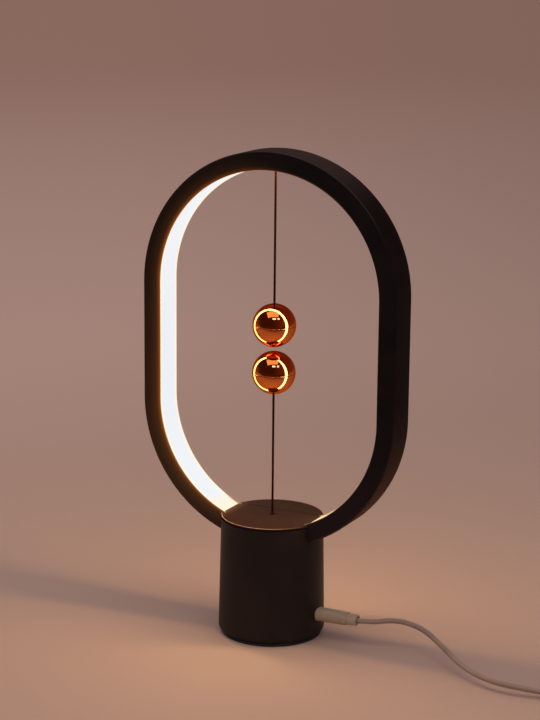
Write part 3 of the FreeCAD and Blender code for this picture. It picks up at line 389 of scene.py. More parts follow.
def cord_finish():
    """Tight braided cord, dark brown. Its threads follow the two sets that cross round its shape."""
    finish = Finish("cord_finish", Specular_IOR_Level=0.0)
    x, y, z = finish.axes()
    around = y.angle_to(x) * braid_threads
    along = z * (braid_pitch / MM)
    threads = (around + along).sine().larger((around - along).sine())
    fuzz = finish.noise(5200, 2, 0.6)
    finish.set("Base Color", finish.between(
        threads * 0.4 + fuzz * 0.5, (0.0048, 0.0010, 0.0003), (0.0160, 0.0042, 0.0014)))
    finish.set("Roughness", 0.72 + fuzz * 0.2)
    finish.bump(threads * 0.8 + fuzz * 0.3, 0.00008, 0.7)
    return finish.material


def sheath_finish():
    """Soft pale sheath of the power lead: nearly smooth, with faint drag marks and grime."""
    finish = Finish("sheath_finish", Specular_IOR_Level=0.38)
    clouds = finish.noise(55, 4, 0.6)
    skin = finish.noise(1900, 3, 0.6)
    finish.set("Base Color", finish.between(
        clouds.rise(0.3, 0.7), (0.340, 0.218, 0.155), (0.385, 0.250, 0.180)))
    finish.set("Roughness", 0.48 + skin * 0.14)
    finish.bump(skin, 0.00003, 0.5)
    return finish.material


def moulding_finish():
    """Moulded grip of the plugs: the sheath's colour with a fine satin texture."""
    finish = Finish("moulding_finish", Specular_IOR_Level=0.36)
    clouds = finish.noise(80, 3, 0.6)
    skin = finish.noise(2600, 3, 0.65)
    finish.set("Base Color", finish.between(
        clouds.rise(0.3, 0.7), (0.425, 0.298, 0.190), (0.480, 0.340, 0.220)))
    finish.set("Roughness", 0.50 + skin * 0.14)
    finish.bump(skin + finish.cells(1500) * 0.4, 0.00005, 0.5)
    return finish.material


def rubber_finish(name, tone):
    """Dull black-brown rubber or foam. tone is the red of its lighter colour."""
    finish = Finish(name, Specular_IOR_Level=0.1)
    skin = finish.noise(1500, 3, 0.6)
    dark, pale = (tone * 0.7, tone * 0.45, tone * 0.35), (tone, tone * 0.7, tone * 0.6)
    finish.set("Base Color", finish.between(skin, dark, pale))
    finish.set("Roughness", 0.72 + skin * 0.15)
    finish.bump(skin, 0.00006, 0.6)
    return finish.material


def plain_plastic(name, low, high):
    """Moulded plastic of the hidden pieces, with a fine texture."""
    finish = Finish(name, Specular_IOR_Level=0.4)
    skin = finish.noise(1400, 3, 0.6)
    finish.set("Base Color", finish.between(finish.noise(90, 3, 0.6), low, high))
    finish.set("Roughness", 0.45 + skin * 0.12)
    finish.bump(skin, 0.00004, 0.5)
    return finish.material


def metal(name, low, high, roughness):
    """Bare or plated metal with fine machining marks and slight staining."""
    finish = Finish(name, Metallic=1.0)
    marks = finish.grain((240, 240, 2200), 3, 0.6)
    stain = finish.noise(120, 4, 0.6)
    finish.set("Base Color", finish.between(stain.rise(0.3, 0.75), low, high))
    finish.set("Roughness", roughness + marks * 0.14 + stain * 0.05)
    finish.bump(marks, 0.00003, 0.4)
    return finish.material


def board_finish():
    """Green circuit board with copper runs under the mask."""
    finish = Finish("board_finish", Specular_IOR_Level=0.5)
    x, y, _ = finish.axes()
    runs = (x * 2400.0).sine().larger((y * 1700.0).sine()).rise(0.86, 0.93)
    finish.set("Base Color", finish.between(runs, (0.010, 0.075, 0.028), (0.022, 0.140, 0.050)))
    finish.set("Roughness", 0.30 + finish.noise(900, 2, 0.5) * 0.1)
    finish.bump(runs, 0.00003, 0.6)
    return finish.material


def light_finish():
    """Light emitters: a yellow phosphor square in a pale housing."""
    finish = Finish("light_finish", Roughness=0.35, Emission_Strength=1.6)
    glow = finish.noise(420, 2, 0.5)
    finish.set("Base Color", finish.between(glow, (0.85, 0.66, 0.22), (0.90, 0.74, 0.34)))
    finish.set("Emission Color", finish.between(glow, (1.0, 0.72, 0.36), (1.0, 0.78, 0.44)))
    return finish.material


slot_finishes = {
    "ring_finish": ring_finish(),
    "base_finish": base_finish(),
    "cap_finish": cap_finish(),
    "dark_plastic": plain_plastic("dark_plastic", (0.018, 0.017, 0.017), (0.030, 0.028, 0.027)),
    "rubber_foot": rubber_finish("rubber_finish", 0.012),
    "foam": rubber_finish("foam_finish", 0.09),
    "glow_diffuser": diffuser_finish(),
    "strip_white": plain_plastic("strip_white", (0.72, 0.71, 0.68), (0.80, 0.79, 0.76)),
    "led_yellow": light_finish(),
    "brass": metal("brass", (0.66, 0.44, 0.17), (0.78, 0.55, 0.25), 0.24),
    "steel": metal("steel", (0.47, 0.47, 0.48), (0.60, 0.60, 0.61), 0.28),
    "board_green": board_finish(),
    "component_black": plain_plastic("component_black", (0.012, 0.012, 0.013), (0.022, 0.022, 0.023)),
    "socket_metal": metal("socket_metal", (0.58, 0.57, 0.55), (0.70, 0.69, 0.67), 0.20),
    "wire_insulation": plain_plastic("wire_insulation", (0.30, 0.020, 0.015), (0.38, 0.030, 0.022)),
    "copper_mirror": copper_finish(),
    "ball_core": plain_plastic("ball_core", (0.50, 0.48, 0.42), (0.58, 0.56, 0.50)),
    "magnet_nickel": metal("magnet_nickel", (0.60, 0.58, 0.55), (0.72, 0.70, 0.67), 0.16),
    "dark_cord": cord_finish(),
    "lead_sheath": sheath_finish(),
    "plug_moulding": moulding_finish(),
    "tie_black": rubber_finish("tie_finish", 0.016),
}


# ---------------------------------------------------------------- surfaces
def faces_of_grid(rows, columns, rows_close, columns_close):
    """Corner numbers of the quads of a grid. A closed direction joins its last line to its first."""
    down = np.arange(rows if rows_close else rows - 1)
    across = np.arange(columns if columns_close else columns - 1)
    i, j = (line.ravel() for line in np.meshgrid(down, across, indexing="ij"))
    below, beside = (i + 1) % rows, (j + 1) % columns
    this_row, next_row = i * columns, below * columns
    return np.stack([this_row + j, this_row + beside, next_row + beside, next_row + j], 1)


def surface(name, points, rows_close, columns_close, crease=35.0, weld=False):
    """Mesh piece from a grid of points (rows, columns, 3) in millimetres.

    Its quads are turned outwards by the sign of the volume that they enclose, and edges bent more
    than the crease angle are kept sharp. weld joins the points that a pole or a seam repeats."""
    rows, columns = points.shape[:2]
    corners = points.reshape(-1, 3) * MM
    quads = faces_of_grid(rows, columns, rows_close, columns_close)
    a, b, c, d = (corners[quads[:, side]] for side in range(4))
    volume = np.einsum("ij,ij->i", a, np.cross(b, c) + np.cross(c, d)).sum()
    if volume < 0:
        quads = quads[:, ::-1]
    mesh = bpy.data.meshes.new(name)
    mesh.from_pydata(corners.tolist(), [], quads.tolist())
    if weld:
        merge_doubles(mesh)
    return finished_piece(name, mesh, crease)


def merge_doubles(mesh, distance=1e-7):
    """Points closer than the distance, in metres, become one."""
    work = bmesh.new()
    work.from_mesh(mesh)
    bmesh.ops.remove_doubles(work, verts=work.verts, dist=distance)
    work.to_mesh(mesh)
    work.free()


def finished_piece(name, mesh, crease):
    """An object of a mesh, at the origin, smooth but for the edges bent more than the crease angle."""
    mesh.polygons.foreach_set("use_smooth", np.ones(len(mesh.polygons), dtype=bool))
    mesh.set_sharp_from_angle(angle=math.radians(crease))
    mesh.update()
    piece = bpy.data.objects.new(name, mesh)
    bpy.context.scene.collection.objects.link(piece)
    return piece


def dressed(piece, body, slot, *nodes):
    """The piece rides on a body, takes a slot's finish and stands for CAD nodes."""
    piece.data.materials.clear()
    piece.data.materials.append(slot_finishes[slot])
    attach(piece, body)
    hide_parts(*nodes)
    return piece


def rounded_outline(corners, radii, steps=6):
    """Closed outline of straight runs whose corners are arcs tangent to both runs, as (n, 2) points.

    An arc of radius r at a corner that turns by t touches its runs r * tan(t / 2) from the corner."""
    corners = np.asarray(corners, float)
    out = []
    befores, afters = np.roll(corners, 1, 0), np.roll(corners, -1, 0)
    for corner, before, after, radius in zip(corners, befores, afters, radii):
        if radius == 0:
            out.append(corner[None])
            continue
        arrive = (corner - before) / np.linalg.norm(corner - before)
        leave = (after - corner) / np.linalg.norm(after - corner)
        turn = math.atan2(arrive[0] * leave[1] - arrive[1] * leave[0], arrive @ leave)
        start = corner - arrive * radius * math.tan(abs(turn) / 2)
        spoke = np.array([arrive[1], -arrive[0]]) * math.copysign(radius, turn)
        angles = np.linspace(0, turn, steps)[:, None]
        out.append(start - spoke + spoke * np.cos(angles)
                   + np.array([-spoke[1], spoke[0]]) * np.sin(angles))
    return np.concatenate(out)


def lathe(name, outline, segments, crease=35.0):
    """Closed outline of (radius, height) points carried round Z: x = r cos t, y = r sin t, z = h."""
    t = np.linspace(0, TURN, segments, endpoint=False)[:, None]
    radius, height = outline[:, 0][None], outline[:, 1][None]
    points = np.stack(np.broadcast_arrays(radius * np.cos(t), radius * np.sin(t), height), -1)
    return surface(name, points, True, True, crease, weld=True)


# ---------------------------------------------------------------- ring
# Sizes and heights of shapes are in millimetres from here on.
rim_wall = 2.0
rail_inner, rail_outer = 100.05, 101.55
rail_height = 2.0
laid_gap = 0.15
rib_height, rib_width = 1.8, 1.6
lip_round, rim_round, fine_round = 0.4, 0.6, 0.15
rail_round, rib_round = 0.2, 0.1
boss_inner, boss_outer = 3.05, 4.5
boss_low, boss_high = 387.6, 398.5


def ring_path():
    """The ring's middle line as (centre height, cos, sin) for each point round it.

    Half circles about the high and the low centre, joined by straight sides. A point of the ring at
    a radius r is then (r cos, y, centre + r sin)."""
    arc_points, side_points = 112, 14
    upper = np.linspace(0, math.pi, arc_points)
    lower = np.linspace(math.pi, TURN, arc_points)
    side = np.linspace(0, 1, side_points + 2)[1:-1]
    climb = (high_centre - low_centre) * side
    centre = np.concatenate([np.full(arc_points, high_centre), high_centre - climb,
                             np.full(arc_points, low_centre), low_centre + climb])
    angle = np.concatenate([upper, np.full(side_points, math.pi), lower, np.full(side_points, TURN)])
    return centre[:, None], np.cos(angle)[:, None], np.sin(angle)[:, None]


def ring_band(name, outline):
    """Outline of (radius, y) points carried round the ring's middle line."""
    centre, cosine, sine = ring_path()
    radius, y = outline[:, 0][None], outline[:, 1][None]
    points = np.stack(np.broadcast_arrays(radius * cosine, y, centre + radius * sine), -1)
    return surface(name, points, True, True)


def make_ring_channel():
    """Outer rim and front wall in one, with a rail that the diffuser sits against."""
    wall = -half_depth + face_wall
    rim = ring_outer - rim_wall
    corners = [(ring_inner, -half_depth), (ring_outer, -half_depth), (ring_outer, half_depth),
               (rim, half_depth), (rim, wall), (rail_outer, wall), (rail_outer, wall + rail_height),
               (rail_inner, wall + rail_height), (rail_inner, wall), (ring_inner, wall)]
    radii = [lip_round, rim_round, rim_round, fine_round, 0, 0, rail_round, rail_round, 0, fine_round]
    return ring_band("ring_channel", rounded_outline(corners, radii))


def make_ring_cover():
    """Back wall laid inside the rim, with the rear rail and the rib that finds the rim."""
    wall = half_depth - face_wall
    outer = ring_outer - rim_wall - laid_gap
    corners = [(ring_inner, wall), (ring_inner, half_depth), (outer, half_depth),
               (outer, wall - rib_height), (outer - rib_width, wall - rib_height),
               (outer - rib_width, wall), (rail_outer, wall), (rail_outer, wall - rail_height),
               (rail_inner, wall - rail_height), (rail_inner, wall)]
    radii = [fine_round, lip_round, fine_round, rib_round, rib_round, 0, 0, rail_round, rail_round, 0]
    return ring_band("ring_cover", rounded_outline(corners, radii))


def make_cord_boss():
    """Boss inside the top of the ring that holds the upper cord's bush: a plain tube."""
    outline = np.array([(boss_inner, boss_low), (boss_outer, boss_low),
                        (boss_outer, boss_high), (boss_inner, boss_high)])
    return lathe("cord_boss", outline, 64)


dressed(make_ring_channel(), "base", "ring_finish", "ring_body")
dressed(make_cord_boss(), "base", "ring_finish", "ring_body")
dressed(make_ring_cover(), "base", "ring_finish", "ring_back_cover")


# ---------------------------------------------------------------- base
def merged_copy(node, name):
    """A CAD node's own shape with its doubles merged, so that its curved faces shade smoothly."""
    mesh = frame["nodes"][node].data.copy()
    merge_doubles(mesh, 1e-6)
    piece = finished_piece(name, mesh, 32)
    flat_faces_lead = piece.modifiers.new("flat_faces_lead", "WEIGHTED_NORMAL")
    flat_faces_lead.keep_sharp = True
    return piece


for node, name, slot in (("base_shell", "base_wall", "base_finish"),
                         ("base_cap_front", "cap_front", "cap_finish"),
                         ("base_cap_rear", "cap_rear", "cap_finish"),
                         ("cap_grommet", "cord_eyelet", "cap_finish"),
                         ("bottom_cover", "base_floor", "dark_plastic"),
                         ("foot_pad", "foot", "rubber_foot")):
    dressed(merged_copy(node, name), "base", slot, node)


# ---------------------------------------------------------------- balls
ball_radius = 17.75
ball_wall = 1.5
seam_round = 0.3
upper_middle, lower_middle = 258.55, 219.45
cord_hole = 1.35


def half_ball_outline(middle, side, hole):
    """Profile of half a hollow ball: outside from the pole to the seam, then back along the inside.

    side is +1 for the upper half. hole is the radius left open at the pole, and the outer edge of
    the seam is rounded, so that two halves meet in a fine groove."""
    inside = ball_radius - ball_wall
    outer = np.linspace(math.asin(hole / ball_radius), math.pi / 2 - seam_round / ball_radius, 96)
    inner = np.linspace(math.pi / 2, math.asin(hole / inside), 64)
    edge = np.linspace(0, math.pi / 2, 6)[1:]
    outside = ball_radius * np.stack([np.sin(outer), np.cos(outer)], 1)
    seam = np.stack([ball_radius - seam_round * (1 - np.cos(edge)), seam_round * (1 - np.sin(edge))], 1)
    back = inside * np.stack([np.sin(inner), np.cos(inner)], 1)
    outline = np.concatenate([outside, seam, back])
    return outline * (1, side) + (0, middle)


def make_ball(ball, middle, cord_side):
    """Both halves of a ball. The half on the cord's side has a hole at its pole."""
    for side, half in ((1, "top"), (-1, "bottom")):
        outline = half_ball_outline(middle, side, cord_hole if side == cord_side else 0.0)
        piece = lathe(f"{ball}_half_{half}", outline, 192, crease=40)
        dressed(piece, ball, "copper_mirror", f"{ball}_{half}")


make_ball("upper_ball", upper_middle, 1)
make_ball("lower_ball", lower_middle, -1)


# ---------------------------------------------------------------- cords of the balls
# The lower cord's braid is given a mesh of its own.
cord_radius = 0.95
thread_relief = 0.05
row_step = 0.16
points_round_cord = 32


def make_braid(name, node):
    """Braided cord on Z, as high as a node, closed at both ends.

    Its radius is r + d * max(sin(na + kz), sin(na - kz)): two sets of n threads that cross."""
    low, high = (corner.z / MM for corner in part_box(node))
    z = np.linspace(low, high, int((high - low) / row_step))[:, None]
    a = np.linspace(0, TURN, points_round_cord, endpoint=False)[None]
    around, along = braid_threads * a, braid_pitch * z
    weave = np.maximum(np.sin(around + along), np.sin(around - along))
    radius = cord_radius - thread_relief + thread_relief * weave
    points = np.stack(np.broadcast_arrays(radius * np.cos(a), radius * np.sin(a), z), -1)
    ends = [np.broadcast_to((0, 0, level), (1, points_round_cord, 3)) for level in (low, high)]
    return surface(name, np.concatenate([ends[0], points, ends[1]]), False, True, crease=60, weld=True)


dressed(make_braid("upper_braid", "upper_string"), "upper_line", "dark_cord", "upper_string")
lower_braid = make_braid("lower_braid", "lower_string")
dressed(lower_braid, "lower_line", "dark_cord", "lower_string")
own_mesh(lower_braid)


# ---------------------------------------------------------------- power lead
lead_radius = 2.1
port_height = 21.0
coil_middle = (285.0, -2.0)
coil_radius = 24.4
coil_pitch = 4.4
coil_layers = 4
layer_rise = 4.25
coil_turns = 10.2
coil_depth = coil_pitch * coil_turns / coil_layers
points_per_turn = 16
tie_angle = math.pi / 2
tie_thickness = 0.6
lead_route = [
    (76.4, 0, 21.0),
    (90, 0, 21.1),
    (108, 12.5, 22.8),
    (131, 11.5, 19.6),
    (154, -6, 15.4),
    (180, -29.5, 10.8),
    (207, -41.5, 7.8),
    (235, -41, 6.6),
    (260, -33, 3.6),
    (280, -27.2, 2.1),
]
tail_route = [
    (306.5, 17, 13.2),
    (302, 33, 5.2),
    (300, 51, 4.2),
    (300, 61, 4.2),
]


def coil_route():
    """Turns of the put-away lead, as control points round the coil's middle.

    The angle runs on evenly. The layers wind in and out by turns, by one pitch a turn. A layer after
    the first starts with a quarter turn at an even radius, in which the lead climbs on to the turns
    below. Where the strap passes under the coil, all the layers lie its thickness higher."""
    first = math.radians(-67.4)
    climb, tie_gap, tie_reach = 0.25, 0.1, 0.45
    turns = np.linspace(0, coil_turns, int(coil_turns * points_per_turn) + 1)
    share = coil_turns / coil_layers
    layer = np.minimum((turns / share).astype(int), coil_layers - 1)
    within = turns - layer * share
    even = np.where(layer == 0, 0, climb)
    wound = np.maximum(within - even, 0)
    inward = coil_radius - coil_pitch * (even + wound)
    outward = coil_radius - coil_depth + coil_pitch * wound
    radius = np.where(layer % 2 == 0, inward, outward) / math.cos(math.pi / points_per_turn)
    up = np.where(layer == 0, 0, np.minimum(within / climb, 1) - 1)
    angle = first + turns * TURN
    from_tie = np.angle(np.exp(1j * (angle - tie_angle)))
    near_tie = np.exp(-(from_tie / tie_reach) ** 2)
    height = lead_radius + layer_rise * (layer + up) + (tie_thickness + tie_gap) * near_tie
    x, y = coil_middle
    return np.stack([x + radius * np.cos(angle), y + radius * np.sin(angle), height], 1)


def make_lead():
    """The whole lead as one smooth spline: along the floor, round the coil and on to the far plug."""
    route = np.concatenate([lead_route, coil_route(), tail_route]) * MM
    curve = bpy.data.curves.new("power_lead", "CURVE")
    curve.dimensions = "3D"
    spline = curve.splines.new("NURBS")
    spline.points.add(len(route) - 1)
    spline.points.foreach_set("co", np.column_stack([route, np.ones(len(route))]).ravel())
    spline.order_u = 3
    spline.use_endpoint_u = True
    spline.resolution_u = 8
    curve.bevel_depth = lead_radius * MM
    curve.bevel_resolution = 5
    curve.use_fill_caps = True
    piece = bpy.data.objects.new("power_lead", curve)
    bpy.context.scene.collection.objects.link(piece)
    return piece


def rounded_section(width, tall, corner):
    """Closed outline of a rectangle with rounded corners, as (across, up) points about its middle."""
    half_w, half_t = width / 2, tall / 2
    corners = [(-half_w, -half_t), (half_w, -half_t), (half_w, half_t), (-half_w, half_t)]
    return rounded_outline(corners, [corner] * 4, 9)


def along_x(height):
    """Carries sections along X at a height: (distance, across, up) becomes (x, y, z)."""
    return lambda along, across, up: np.stack([along, across, up + height], -1)


def along_y(x, height):
    """Carries sections along Y at an x and a height, so that they still face the way they run."""
    return lambda along, across, up: np.stack([x - across, along, up + height], -1)


def rows_of_section(section, stations, carry):
    """A section carried along a line. Each station is (distance, width share, height share)."""
    along, wide, tall = (np.array(column)[:, None] for column in zip(*stations))
    across = section[:, 0] * wide
    return carry(np.broadcast_to(along, across.shape), across, section[:, 1] * tall)


def rows_of_circles(section, stations, carry):
    """Circles with a point towards each point of a section. Each station is (distance, radius)."""
    spoke = section / np.linalg.norm(section, axis=1)[:, None]
    return rows_of_section(spoke, [(distance, radius, radius) for distance, radius in stations], carry)


def moulding(name, *rows):
    """Piece closed round its line, of rows of points that start and end in a point."""
    return surface(name, np.concatenate(rows), False, True, crease=50, weld=True)


def straight_run(start, end, count):
    """Stations of a plain run at full size."""
    return [(distance, 1, 1) for distance in np.linspace(start, end, count)]


def quarter_end(face, width, tall, radius, inward):
    """Stations of an end rounded by a quarter circle.

    At the face its section is one radius smaller all round. inward is +1 where the body lies after the
    face and -1 where it lies before it."""
    angles = np.linspace(0, math.pi / 2, 6)
    depth = radius * (1 - np.cos(angles))
    shrink = radius * (1 - np.sin(angles))
    stations = [(face + inward * d, 1 - 2 * s / width, 1 - 2 * s / tall) for d, s in zip(depth, shrink)]
    return stations if inward > 0 else stations[::-1]


def make_plug_grip():
    """Grip of the plug in the base: rounded ends, and a section that shrinks evenly along it."""
    width, tall, corner = 13.6, 10.4, 4.4
    start, end = 42.6, 70.0
    front_round, rear_round, inset, taper = 0.8, 0.45, 1.5, 0.09
    even = [(start, 0, 0)] + quarter_end(start, width, tall, front_round, 1)
    even += straight_run(start + inset, end - inset, 8)
    even += quarter_end(end, width, tall, rear_round, -1) + [(end, 0, 0)]
    stations = []
    for x, wide, high in even:
        left = 1 - taper * (x - start) / (end - start)
        stations.append((x, wide * left, high * left))
    section = rounded_section(width, tall, corner)
    return moulding("plug_grip", rows_of_section(section, stations, along_x(port_height)))


def make_relief():
    """Smaller step behind the grip, open at its end round the lead."""
    width, tall, corner = 10.4, 8.0, 3.6
    start, end, end_round, inset = 70.0, 78.4, 0.35, 1.5
    mouth, mouth_depth, mouth_edge = 3.0, 2.0, 0.2
    section, carry = rounded_section(width, tall, corner), along_x(port_height)
    outside = [(start, 0, 0)] + straight_run(start, start + 1, 2)
    outside += straight_run(start + 1 + inset, end - inset, 5)
    outside += quarter_end(end, width, tall, end_round, -1)
    bore = [(end, mouth + mouth_edge), (end - mouth_edge, mouth),
            (end - mouth_depth, mouth), (end - mouth_depth, 0)]
    return moulding("plug_relief", rows_of_section(section, outside, carry),
                    rows_of_circles(section, bore, carry))


def make_far_grip():
    """Grip of the far plug: a rounded block, and a sleeve round the lead.

    The sleeve's radius grows evenly from the lead and is cut by ribs: the positive halves of a sine."""
    width, tall, corner, edge, inset = 15.6, 8.4, 2.6, 0.8, 2.0
    start, block_start, block_end = 61.0, 70.0, 97.0
    sleeve_radius, sleeve_growth = 3.0, 0.9
    rib_depth, rib_pitch, last_rib = 0.18, 1.8, 8.4
    section, carry = rounded_section(width, tall, corner), along_y(tail_route[-1][0], tall / 2)
    sleeve = block_start - start
    y = np.linspace(0, sleeve, 46)
    ribs = rib_depth * np.maximum(np.sin(y * TURN / rib_pitch), 0) * (y < last_rib)
    radius = sleeve_radius + sleeve_growth * y / sleeve - ribs
    cone = [(start, 0)] + list(zip(start + y, radius))
    block = quarter_end(block_start, width, tall, edge, 1)
    block += straight_run(block_start + inset, block_end - inset, 6)
    block += quarter_end(block_end, width, tall, edge, -1) + [(block_end, 0, 0)]
    return moulding("far_grip", rows_of_circles(section, cone, carry),
                    rows_of_section(section, block, carry))


def make_tie():
    """Strap round the coil's turns: a flat band carried round a rounded rectangle in the YZ plane."""
    outer_corner, inner_corner, half_width = 2.2, 1.6, 2.0
    y_middle = coil_middle[1] + coil_radius - coil_depth / 2
    tall = coil_layers * layer_rise + 2 * tie_thickness
    width = 2 * lead_radius + coil_depth + 2 * tie_thickness
    outer = rounded_section(width, tall, outer_corner)
    inner = rounded_section(width - 2 * tie_thickness, tall - 2 * tie_thickness, inner_corner)
    rings = [(inner, -half_width), (outer, -half_width), (outer, half_width), (inner, half_width)]
    points = np.stack([np.column_stack([np.full(len(ring), coil_middle[0] + x), ring[:, 0] + y_middle,
                                        ring[:, 1] + tall / 2]) for ring, x in rings])
    return surface("coil_strap", points, True, True, crease=40)


lead = dressed(make_lead(), "power_lead", "lead_sheath", "lead", "lead_coil")
plug_grip = dressed(make_plug_grip(), "power_lead", "plug_moulding", "usb_grip")
plug_relief = dressed(make_relief(), "power_lead", "plug_moulding", "strain_relief")
far_grip = dressed(make_far_grip(), "power_lead", "plug_moulding", "far_plug_grip")
strap = dressed(make_tie(), "power_lead", "tie_black", "lead_tie")


# ---------------------------------------------------------------- CAD nodes that stay
for subpart in frame["record"]["subparts"]:
    materials = frame["nodes"][subpart["node"]].data.materials
    materials.clear()
    materials.append(slot_finishes[subpart["material_slot"]])


# ---------------------------------------------------------------- stage and light
# The camera's level distance and the middle of the balls are in metres, the reaches in millimetres.
camera_distance = 1.57
balls_middle = Vector((0, 0, 0.24))
floor_start, floor_reach = 200, 14000
dome_reach = 13500
window_distance = 3.2
window_height = 0.44
window_radiance = 9.0
window_colour = (0.36, 0.47, 1.0)


def stage_finish():
    """Dusty-rose paper with the faintest fibre in it.

    Its colour is painted light and shade: darker near the lamp, lighter at middle distance, darker far
    off and dimmer to the right. Reflections see it painted dark in front."""
    finish = Finish("stage_finish", Roughness=0.8, Specular_IOR_Level=0.0)
    x, y, _ = finish.axes()
    away = (x * x + y * y).power(0.5)
    rightward, backward = finish.level_axes()
    slope = rightward / (backward + camera_distance).larger(0.3)
    fibre = finish.noise(900, 3, 0.6) * 0.5 + finish.noise(6, 2, 0.5) * 0.5
    # Painted light and shade: the colours below change with distance and to the right to stand in for
    # uneven light on the floor.
    near = finish.between(fibre, (0.515, 0.325, 0.251), (0.537, 0.341, 0.263))
    middle = finish.between(away.rise(0.05, 1.3), near, (0.755, 0.480, 0.360))
    far = finish.between(away.rise(1.6, 6.5), middle, (0.620, 0.348, 0.240))
    dim = finish.between(away.rise(1.0, 4.0), (0.475, 0.300, 0.224), (0.460, 0.278, 0.200))
    sided = finish.between(slope.rise(-0.11, 0.20) * away.rise(0.15, 0.8) * 0.5, far, dim)
    # Painted reflection: rays that reflect off things see the floor in front painted dark.
    mirrored = Value(finish, finish.node("ShaderNodeLightPath").outputs["Is Glossy Ray"])
    in_front = (0.0 - backward).rise(0.24, 1.0)
    finish.set("Base Color", finish.between(in_front * mirrored, sided, (0.110, 0.046, 0.028)))
    return finish.material


def make_floor():
    """Round floor: rings of points whose radius grows by the same share each time."""
    radius = np.concatenate([[0.0], np.geomspace(floor_start, floor_reach, 40)])[:, None]
    t = np.linspace(0, TURN, 96, endpoint=False)[None]
    points = np.stack(np.broadcast_arrays(radius * np.cos(t), radius * np.sin(t), 0.0 * radius), -1)
    floor = surface("floor", points, False, True, weld=True)
    floor.data.materials.append(stage_finish())


def aimed(azimuth, elevation, distance, level_azimuth):
    """World matrix of a lamp that faces the balls from a direction.

    Its first side is as level as it can be for an eye that looks in from the level azimuth."""
    away = direction(math.radians(azimuth), math.radians(elevation))
    level = level_line(math.radians(level_azimuth))
    level = (level - away * level.dot(away)).normalized()
    return placed(balls_middle + away * distance, level, away.cross(level), away)


def lamp(name, place, size, radiance, colour, diffuse=True, glossy=True):
    """Rectangular lamp that the camera doesn't see. Its power is pi * area * radiance.

    It can be kept to diffuse light alone or to reflections alone."""
    data = bpy.data.lights.new(name, "AREA")
    data.shape = "RECTANGLE"
    data.size, data.size_y = size
    data.energy = math.pi * size[0] * size[1] * radiance
    data.color = colour
    light = bpy.data.objects.new(name, data)
    light.matrix_world = place
    light.visible_camera = False
    light.visible_diffuse = diffuse
    light.visible_glossy = glossy
    bpy.context.scene.collection.objects.link(light)


def light_the_ring():
    """The lamp's own light: flat lamps laid end to end just inside the diffuser, facing inwards.

    A strong warm set lights what is dull, and a narrower, paler set a step further in shows in
    reflections. Each lamp spans an equal share of an arc, tangent to it in its middle: its length is
    2 r tan(half its angle)."""
    light_width, light_radiance, light_colour = 0.025, 23.5, (1.0, 0.72, 0.33)
    shine_width, shine_radiance, shine_colour = 0.021, 14.0, (0.45, 0.60, 0.85)
    shine_step = 0.0003
    cap_level = 101.0
    arch_lamps, foot_lamps = 14, 5
    radius = (ring_inner + 0.1) * MM

    share = math.pi / arch_lamps
    arcs = [(high_centre, (step + 0.5) * share, share) for step in range(arch_lamps)]
    share = math.asin((low_centre - cap_level) * MM / radius) / foot_lamps
    for start, way in ((0, -1), (math.pi, 1)):
        arcs += [(low_centre, start + way * (step + 0.5) * share, share) for step in range(foot_lamps)]
    spans = [(centre * MM, angle, 2 * radius * math.tan(share / 2)) for centre, angle, share in arcs]
    straight = (high_centre - low_centre) * MM
    spans += [((high_centre + low_centre) / 2 * MM, angle, straight) for angle in (0, math.pi)]
    for number, (centre, angle, length) in enumerate(spans):
        out = Vector((math.cos(angle), 0, math.sin(angle)))
        along = Vector((-math.sin(angle), 0, math.cos(angle)))
        middle = out * radius + Vector((0, 0, centre))
        place = placed(middle, along, out.cross(along), out)
        lamp(f"ring_light_{number:02d}", place, (length, light_width), light_radiance,
             light_colour, glossy=False)
        place = placed(middle - out * shine_step, along, out.cross(along), out)
        lamp(f"ring_shine_{number:02d}", place, (length, shine_width), shine_radiance,
             shine_colour, diffuse=False)


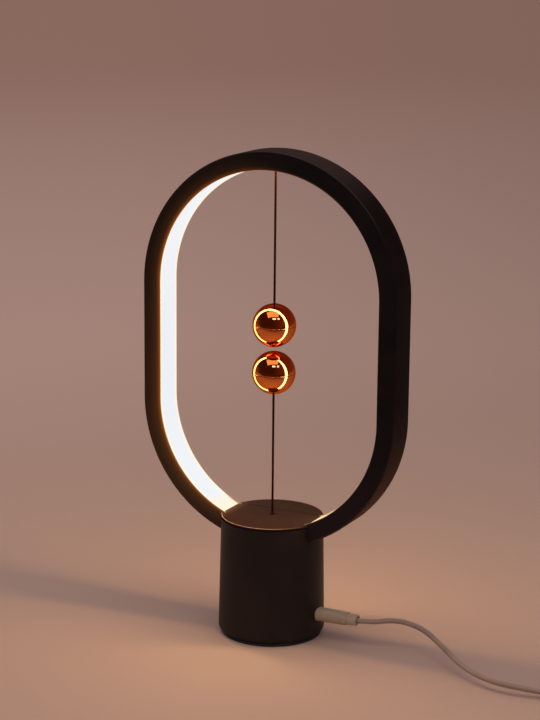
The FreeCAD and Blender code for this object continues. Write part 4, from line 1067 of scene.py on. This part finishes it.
def make_world():
    """Even surroundings: what the camera sees of them is the far floor's colour."""
    pale_blue, far_floor = (0.405, 0.400, 0.465, 1.0), (0.238, 0.131, 0.105, 1.0)
    world = bpy.data.worlds.new("surroundings")
    world.use_nodes = True
    bpy.context.scene.world = world
    nodes, links = world.node_tree.nodes, world.node_tree.links
    background = nodes["Background"]
    path = nodes.new("ShaderNodeLightPath")
    colour = nodes.new("ShaderNodeMix")
    colour.data_type = "RGBA"
    colour.inputs[6].default_value = pale_blue
    colour.inputs[7].default_value = far_floor
    links.new(path.outputs["Is Camera Ray"], colour.inputs[0])
    links.new(colour.outputs[2], background.inputs["Color"])
    background.inputs["Strength"].default_value = 1.0


def make_dome():
    """Dim walls round the lamp that only reflections see: part of a sphere, open below.

    They are near black in front, brown low behind, red-brown high behind and dark red to the right."""
    finish = Finish("dome_finish", Roughness=0.9, Specular_IOR_Level=0.0, Emission_Strength=1.0,
                    Base_Color=(0.0, 0.0, 0.0))
    z = finish.axes()[2]
    rightward, backward = finish.level_axes()
    right = rightward.rise(-2.0, 12.0)
    dark = finish.between(right, (0.038, 0.016, 0.012), (0.125, 0.034, 0.018))
    high_behind = backward.rise(4.0, 10.0) * z.rise(5.0, 9.0) * (1.0 - right)
    dark = finish.between(high_behind, dark, (0.28, 0.085, 0.030))
    low_behind = backward.rise(-4.5, 11.0) * z.fall(1.5, 6.5) * (1.0 - right * 0.8)
    finish.set("Emission Color", finish.between(low_behind, dark, (0.30, 0.17, 0.125)))
    azimuth = np.linspace(0, TURN, 48, endpoint=False)[None]
    elevation = np.radians(np.linspace(0.1, 90.0, 20))[:, None]
    level = np.cos(elevation)
    directions = np.stack(np.broadcast_arrays(
        np.sin(azimuth) * level, -np.cos(azimuth) * level, np.sin(elevation)), -1)
    dome = surface("dome", dome_reach * directions, False, True, weld=True)
    dome.data.materials.append(finish.material)
    dome.visible_camera = False
    dome.visible_diffuse = False
    dome.visible_shadow = False
    dome.visible_transmission = False


make_floor()
make_dome()
make_world()
light_the_ring()
lamp("top_box", aimed(5, 72, 2.0, 26.6), (1.9, 1.3), 1.1, (1.0, 0.93, 0.74))
for name, azimuth, elevation, width in (("window_left", 25.8, 44.5, 0.86),
                                        ("window_right", 55.3, 42.5, 0.52)):
    lamp(name, aimed(azimuth, elevation, window_distance, azimuth), (width, window_height),
         window_radiance, window_colour, diffuse=False)

bpy.context.scene.view_settings.view_transform = "Standard"
